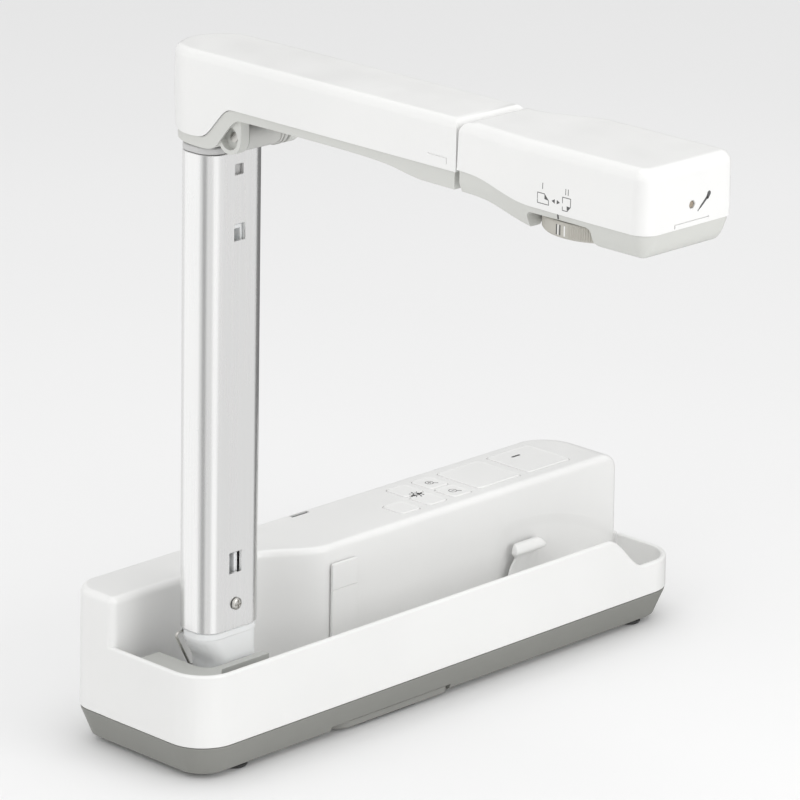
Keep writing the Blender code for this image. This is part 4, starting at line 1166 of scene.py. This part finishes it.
def build_dial():
    axis = (DIAL_X, DIAL_Y, 0)
    steps = 144 * 6
    rings = (
        (262.9, -3.0, False), (263.1, -1.6, False), (263.5, -0.7, False), (263.9, -0.3, False),
        (264.3, 0.0, True), (268.4, 0.0, True), (268.9, -0.3, False), (269.3, -0.8, False),
    )
    loops = []
    for z, step_in, ribbed in rings:
        loop = []
        for i in range(steps):
            angle = 360.0 * i / steps
            r = dial_radius(angle, ribbed) + step_in
            turn = math.radians(angle)
            loop.append((DIAL_X + r * math.cos(turn), DIAL_Y + r * math.sin(turn), z))
        loops.append(loop)
    dial = loft(loops)
    join(dial, tunnel(axis, HUB_R, 268, 275.5))
    cone = ((11.9, 262.0), (11.3, 262.95), (10.7, 263.3), (6.3, 266.4))
    cone += ((5.9, 266.6), (5.1, 266.6), (5.1, 280))
    cut(dial, lathe(axis, cone, "z", 64))
    piece(dial, "focus_ring", "dial_gray", "dial", "rotation_dial", angle=35.0)
    barrel = ((4.5, 265.6), (4.8, 265.8), (4.8, 276.6))
    barrel = lathe(axis, barrel)
    bore = ((4.1, 265.0), (3.6, 265.9), (3.5, 266.5), (3.35, 266.5), (3.2, 269.0), (2.2, 269.0), (2.2, 280))
    cut(barrel, lathe(axis, bore, "z", 48))
    piece(barrel, "camera_barrel", "black_plastic", "dial", "lens_barrel")
    turns = [math.radians(a) for a in (2, 15, 30, 45, 60, 75)]
    glass = [(3.0 * math.sin(turn), 268.3 - 1.9 * math.cos(turn)) for turn in turns]
    glass += [(3.1, 268.3), (2.0, 268.6)]
    lens = lathe(axis, glass)
    piece(lens, "camera_lens", "lens_clear", "dial", "lens_glass")


def build_head_parts():
    lens = ((1.2, 263.15), (2.4, 263.3), (2.85, 263.7), (2.9, 264.0))
    lens += ((2.9, 271.5), (3.9, 271.6), (3.9, 272.8))
    lamp = lathe((DIAL_X, LAMP_Y, 0), lens)
    piece(lamp, "lamp_window", "lens_clear", "head", "lamp_lens")
    mic = ((0.5, 0.75), (1.05, 0.62), (1.2, 0.75), (1.2, 3.6), (2.8, 3.6), (2.8, 6.6))
    mic = lathe((MIC_X, HEAD_Y0, MIC_Z), mic, "y", 32)
    piece(mic, "mic_capsule", "mic_mesh", "head", "microphone", slot="black_plastic")


# --- printed marks


def fill_shape(outline):
    return ("fill", counter_clockwise(list(outline)))


def line_shape(outline, width):
    """A closed line of even width."""
    outline = counter_clockwise(list(outline))
    return ("ring", inset(outline, -width / 2), inset(outline, width / 2))


def bar_shape(a, b, width_a, width_b=None):
    """A straight stroke with round ends, tapering from width_a to width_b."""
    width_b = width_a if width_b is None else width_b
    turn = math.degrees(math.atan2(b[1] - a[1], b[0] - a[0]))
    points = arc(b[0], b[1], width_b / 2, turn - 90, turn + 90, 6)
    points += arc(a[0], a[1], width_a / 2, turn + 90, turn + 270, 6)
    return fill_shape(points)


def emboss(name, shapes, place, rides_on, slot, look="print_dark"):
    """Ink lying a few hundredths of a millimetre proud; place(u, v, depth) puts a point on the surface."""
    verts = []
    faces = []
    for shape in shapes:
        loops = shape[1:] if shape[0] == "ring" else (shape[1],)
        start = len(verts)
        count = len(loops[0])
        for loop in loops:
            verts += [place(u, v, -0.05) for u, v in loop]
            verts += [place(u, v, 0.25) for u, v in loop]
        if shape[0] == "fill":
            faces.append(tuple(range(start, start + count)))
            faces.append(tuple(range(start + count, start + 2 * count)))
            bands = ((0, 1),)
        else:
            bands = ((0, 1), (1, 3), (3, 2), (2, 0))
        for a, b in bands:
            for i in range(count):
                j = (i + 1) % count
                p = start + a * count
                q = start + b * count
                faces.append((p + i, p + j, q + j, q + i))
    piece(make(verts, faces), name, look, rides_on, slot=slot, angle=30.0)


def on_head_side(y, z, depth):
    """The head's left wall leans as its loft does."""
    lean = 0.8 * (276.0 - z) / 21.0 if z < 276.0 else 0.3 * (z - 276.0) / 15.4
    return (HEAD_X0 + lean + depth, y - 0.9, z)


def on_head_under(y, z, depth):
    return (HEAD_X0 + 1.2 - 0.2 * (z - 270.0) + depth, y, z)


def on_head_front(x, z, depth):
    lean = 0.8 * (276.0 - z) / 21.0 if z < 276.0 else 0.3 * (z - 276.0) / 15.4
    return (x, HEAD_Y0 + lean + depth, z)


def on_key(x, y, depth):
    return (x, y, TOWER_Z + KEY_RISE - KEY_SINK - depth)


def on_key_rim(x, y, depth):
    return (x, y, TOWER_Z + KEY_RISE - depth)


def on_strip(x, y, depth):
    """Level with the keys' rims, and deep enough to stand on the strip between them."""
    return (x, y, TOWER_Z + KEY_RISE - depth * 2.2)


def on_dial(angle, z, depth):
    turn = math.radians(angle)
    r = DIAL_R - depth
    return (DIAL_X + r * math.cos(turn), DIAL_Y + r * math.sin(turn), z)


def print_head_side():
    width = 0.26
    page_one = ((-198.3, 274.6), (-203.7, 274.6), (-203.7, 276.2), (-201.6, 278.4), (-198.3, 278.4))
    page_two = ((-210.4, 279.0), (-214.3, 279.0), (-214.3, 275.9), (-212.7, 274.1), (-210.4, 274.1))
    shapes = [
        line_shape(page_one, width),
        line_shape(page_two, width),
        fill_shape(((-203.5, 276.3), (-201.7, 276.5), (-201.7, 278.2))),
        fill_shape(((-212.6, 274.3), (-214.1, 275.9), (-212.5, 276.0))),
        bar_shape((-200.6, 280.1), (-200.6, 282.2), 0.26),
        bar_shape((-211.8, 280.1), (-211.8, 282.2), 0.26),
        bar_shape((-213.0, 280.1), (-213.0, 282.2), 0.26),
        fill_shape(((-205.2, 276.6), (-206.7, 277.4), (-206.7, 275.8))),
        fill_shape(((-209.2, 276.6), (-207.7, 277.4), (-207.7, 275.8))),
    ]
    emboss("print_head_side", shapes, on_head_side, "head", "black_plastic")
    tick = [bar_shape((-208.5, 270.3), (-208.5, 271.5), 0.8)]
    emboss("print_head_tick", tick, on_head_under, "head", "black_plastic")


def print_head_front():
    shapes = [
        bar_shape((-103.9, 277.0), (-102.4, 278.3), 0.3, 0.6),
        bar_shape((-102.5, 278.2), (-98.9, 281.2), 0.75, 1.0),
        bar_shape((-98.7, 281.2), (-97.9, 282.5), 1.5, 1.8),
    ]
    emboss("print_mic_sign", shapes, on_head_front, "head", "black_plastic")


def magnifier(x, y, plus):
    shapes = [line_shape(arc(x, y, 1.75, 0, 345, 23), 0.3)]
    shapes.append(bar_shape((x + 1.3, y - 1.3), (x + 2.7, y - 2.5), 0.45))
    shapes.append(bar_shape((x - 0.9, y), (x + 0.9, y), 0.28))
    if plus:
        shapes.append(bar_shape((x, y - 0.9), (x, y + 0.9), 0.28))
    return shapes


def print_keys():
    emboss("print_zoom_in", magnifier(51.8, 25.8, True), on_key, "key_zoom_in", "key_white")
    emboss("print_zoom_out", magnifier(51.8, 11.8, False), on_key, "key_zoom_out", "key_white")
    dash = [bar_shape((103.6, 25.0), (107.8, 25.0), 1.2)]
    emboss("print_freeze", dash, on_key, "key_freeze", "key_white")


def print_sun():
    """The brightness sign straddles two keys, so each key and the strip between carries its own share."""
    x = 36.7
    y = 18.8
    ring = 1.5
    strokes = []
    for i in range(16):
        ends = [math.radians(22.5 * k) for k in (i, i + 1)]
        strokes.append([(x + ring * math.cos(turn), y + ring * math.sin(turn)) for turn in ends])
    for i in range(8):
        turn = math.radians(45 * i)
        strokes.append([(x + r * math.cos(turn), y + r * math.sin(turn)) for r in (2.3, 3.1)])
    shares = (
        ("print_sun_low", 0.0, 18.0, on_key_rim, "key_bright_down", "key_white"),
        ("print_sun_middle", 18.0, 19.6, on_strip, "base", "shell_white"),
        ("print_sun_high", 19.6, 40.0, on_key_rim, "key_bright_up", "key_white"),
    )
    for name, low, high, place, body, slot in shares:
        mine = [(a, b) for a, b in strokes if low <= (a[1] + b[1]) / 2 < high]
        emboss(name, [bar_shape(a, b, 0.34) for a, b in mine], place, body, slot)


def dial_mark(start, end):
    return fill_shape(((start, 264.5), (end, 264.5), (end, 268.3), (start, 268.3)))


def print_dial():
    dark = [dial_mark(172.3, 173.9), dial_mark(176.8, 178.4)]
    emboss("print_dial_dark", dark, on_dial, "dial", "black_plastic")
    light = [dial_mark(174.5, 175.8), dial_mark(182.6, 184.0)]
    emboss("print_dial_light", light, on_dial, "dial", "shell_white", "shell_white")


# --- carried-over CAD nodes


KEPT = {
    "hinge_bracket": "bracket_dark",
    "column_pin": "steel",
    "ballast_plate": "ballast_iron",
    "main_board": "circuit_board",
    "usb_socket": "steel",
    "rear_lamp": "window_dark",
    "upper_insert": "foot_white",
    "swivel_nut": "steel",
    "fold_pin": "steel",
    "roll_bearing": "knuckle_gray",
    "roll_shaft": "knuckle_gray",
    "camera_board": "circuit_board",
}


def dress_nodes():
    """Inner CAD solids keep their shape and get a procedural finish and smoother shading."""
    for name, look in KEPT.items():
        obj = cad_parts[name]
        for slot in obj.material_slots:
            slot.material = LOOKS[look]
        weighted = obj.modifiers.new("weighted", "WEIGHTED_NORMAL")
        weighted.keep_sharp = True


# --- studio and camera

AZIMUTH = math.radians(-46.02)
ELEVATION = math.radians(18.07)
ROLL = math.radians(1.12)
AIM_Z = 122.76
DISTANCE = 1945.87
SIDE_STEP = 3.16
LENS = 210.26
SHIFT_X = 0.0027
WORLD_LEVEL = 0.88
FRONT_POWER = 3.8
LEFT_POWER = 1.9
TOP_POWER = 5.0


def camera_axes():
    """Right, up and back of the photographer's camera."""
    level = math.cos(ELEVATION)
    back = Vector((math.sin(AZIMUTH) * level, -math.cos(AZIMUTH) * level, math.sin(ELEVATION)))
    right = Vector((0.0, 0.0, 1.0)).cross(back).normalized()
    up = back.cross(right)
    tilted_right = right * math.cos(ROLL) + up * math.sin(ROLL)
    tilted_up = up * math.cos(ROLL) - right * math.sin(ROLL)
    return tilted_right, tilted_up, back


def add_camera():
    right, up, back = camera_axes()
    place = Vector((0.0, Y_SHIFT, AIM_Z)) + back * DISTANCE + right * SIDE_STEP
    data = bpy.data.cameras.new("photo_camera")
    data.lens = LENS
    data.sensor_width = 36.0
    data.shift_x = SHIFT_X
    data.clip_end = 50.0
    camera = add_object("photo_camera", data)
    turn = Matrix((right, up, back)).transposed().to_4x4()
    camera.matrix_world = Matrix.Translation(place * MM) @ turn
    bpy.context.scene.camera = camera


def add_floor():
    """A large pale sheet that runs out of view in every direction."""
    look = Look("studio_paper")
    look.tint(look.noise(1.5), (0.82, 0.82, 0.82), (0.835, 0.835, 0.835))
    set_values(look.shader, {"Roughness": 0.9, "Specular IOR Level": 0.1})
    size = 12.0
    verts = [(-size, -size, 0.0), (size, -size, 0.0), (size, size, 0.0), (-size, size, 0.0)]
    mesh = bpy.data.meshes.new("studio_floor")
    mesh.from_pydata(verts, [], [(0, 1, 2, 3)])
    mesh.materials.append(look.material)
    floor = add_object("studio_floor", mesh)
    floor.visible_glossy = False


def add_card(name, degrees, width, level):
    """A card that only reflections see, standing round the tube to shade its polished sides."""
    turn = math.radians(degrees)
    out = Vector((math.sin(turn), -math.cos(turn), 0.0))
    side = Vector((math.cos(turn), math.sin(turn), 0.0))
    centre = Vector((COL_X, COL_Y + Y_SHIFT, 0.0)) + out * CARD_DISTANCE
    high = Vector((0.0, 0.0, CARD_HEIGHT))
    half = side * (width / 2)
    corners = (centre - half - high, centre + half - high, centre + half + high, centre - half + high)
    mesh = bpy.data.meshes.new(name)
    mesh.from_pydata([corner * MM for corner in corners], [], [(0, 1, 2, 3)])
    mat = bpy.data.materials.new(name)
    mat.use_nodes = True
    mat.node_tree.nodes.clear()
    glow = mat.node_tree.nodes.new("ShaderNodeEmission")
    glow.inputs["Color"].default_value = (level, level, level, 1.0)
    out_node = mat.node_tree.nodes.new("ShaderNodeOutputMaterial")
    mat.node_tree.links.new(glow.outputs["Emission"], out_node.inputs["Surface"])
    mesh.materials.append(mat)
    card = add_object(name, mesh)
    for kind in ("camera", "diffuse", "shadow", "transmission", "volume_scatter"):
        setattr(card, "visible_" + kind, False)


# How far the cards stand from the tube, and how far they reach up and down
CARD_DISTANCE = 600.0
CARD_HEIGHT = 600.0

# Reflected by the tube: name, direction from the front in degrees, width and brightness
CARDS = (
    ("white_card_left", -134.0, 690.0, 1.18),
    ("dark_flag_left", -76.0, 250.0, 0.45),
    ("white_card_front", -12.0, 330.0, 1.22),
    ("dark_flag_right", 106.0, 1080.0, 0.2),
)


def add_area(name, place, aim, size, power):
    data = bpy.data.lights.new(name, "AREA")
    data.shape = "SQUARE"
    data.size = size
    data.energy = power
    light = add_object(name, data)
    light.location = place
    direction = Vector(aim) - Vector(place)
    light.rotation_euler = direction.to_track_quat("-Z", "Y").to_euler()


def add_light():
    """A bright white tent, with soft boxes near the front, at the left and overhead."""
    world = bpy.data.worlds.new("studio_tent")
    bpy.context.scene.world = world
    world.use_nodes = True
    background = world.node_tree.nodes["Background"]
    set_values(background, {"Color": (1.0, 1.0, 1.0, 1.0), "Strength": WORLD_LEVEL})
    add_area("front_box", (0.15, -1.15, 0.55), (-0.05, 0.05, 0.1), 0.6, FRONT_POWER)
    add_area("left_box", (-1.0, -0.15, 0.75), (-0.05, 0.05, 0.1), 0.7, LEFT_POWER)
    add_area("top_box", (0.0, -0.15, 1.7), (0.0, 0.0, 0.1), 1.4, TOP_POWER)


def build_pieces():
    build_upper_cover()
    build_lower_cover()
    build_surround()
    build_clip()
    build_wall_pad()
    build_keys()
    build_support()
    build_feet()
    build_tube()
    build_foot()
    build_wire()
    build_screw()
    build_collar()
    build_knuckle()
    build_arm_top()
    build_arm_lower()
    build_head_top()
    build_head_lower()
    build_dial()
    build_head_parts()
    print_head_side()
    print_head_front()
    print_keys()
    print_sun()
    print_dial()


bpy.context.scene.view_settings.view_transform = "Standard"
add_camera()
build_pieces()
apply_modifiers()
dress_nodes()
add_floor()
add_light()
for card in CARDS:
    add_card(*card)
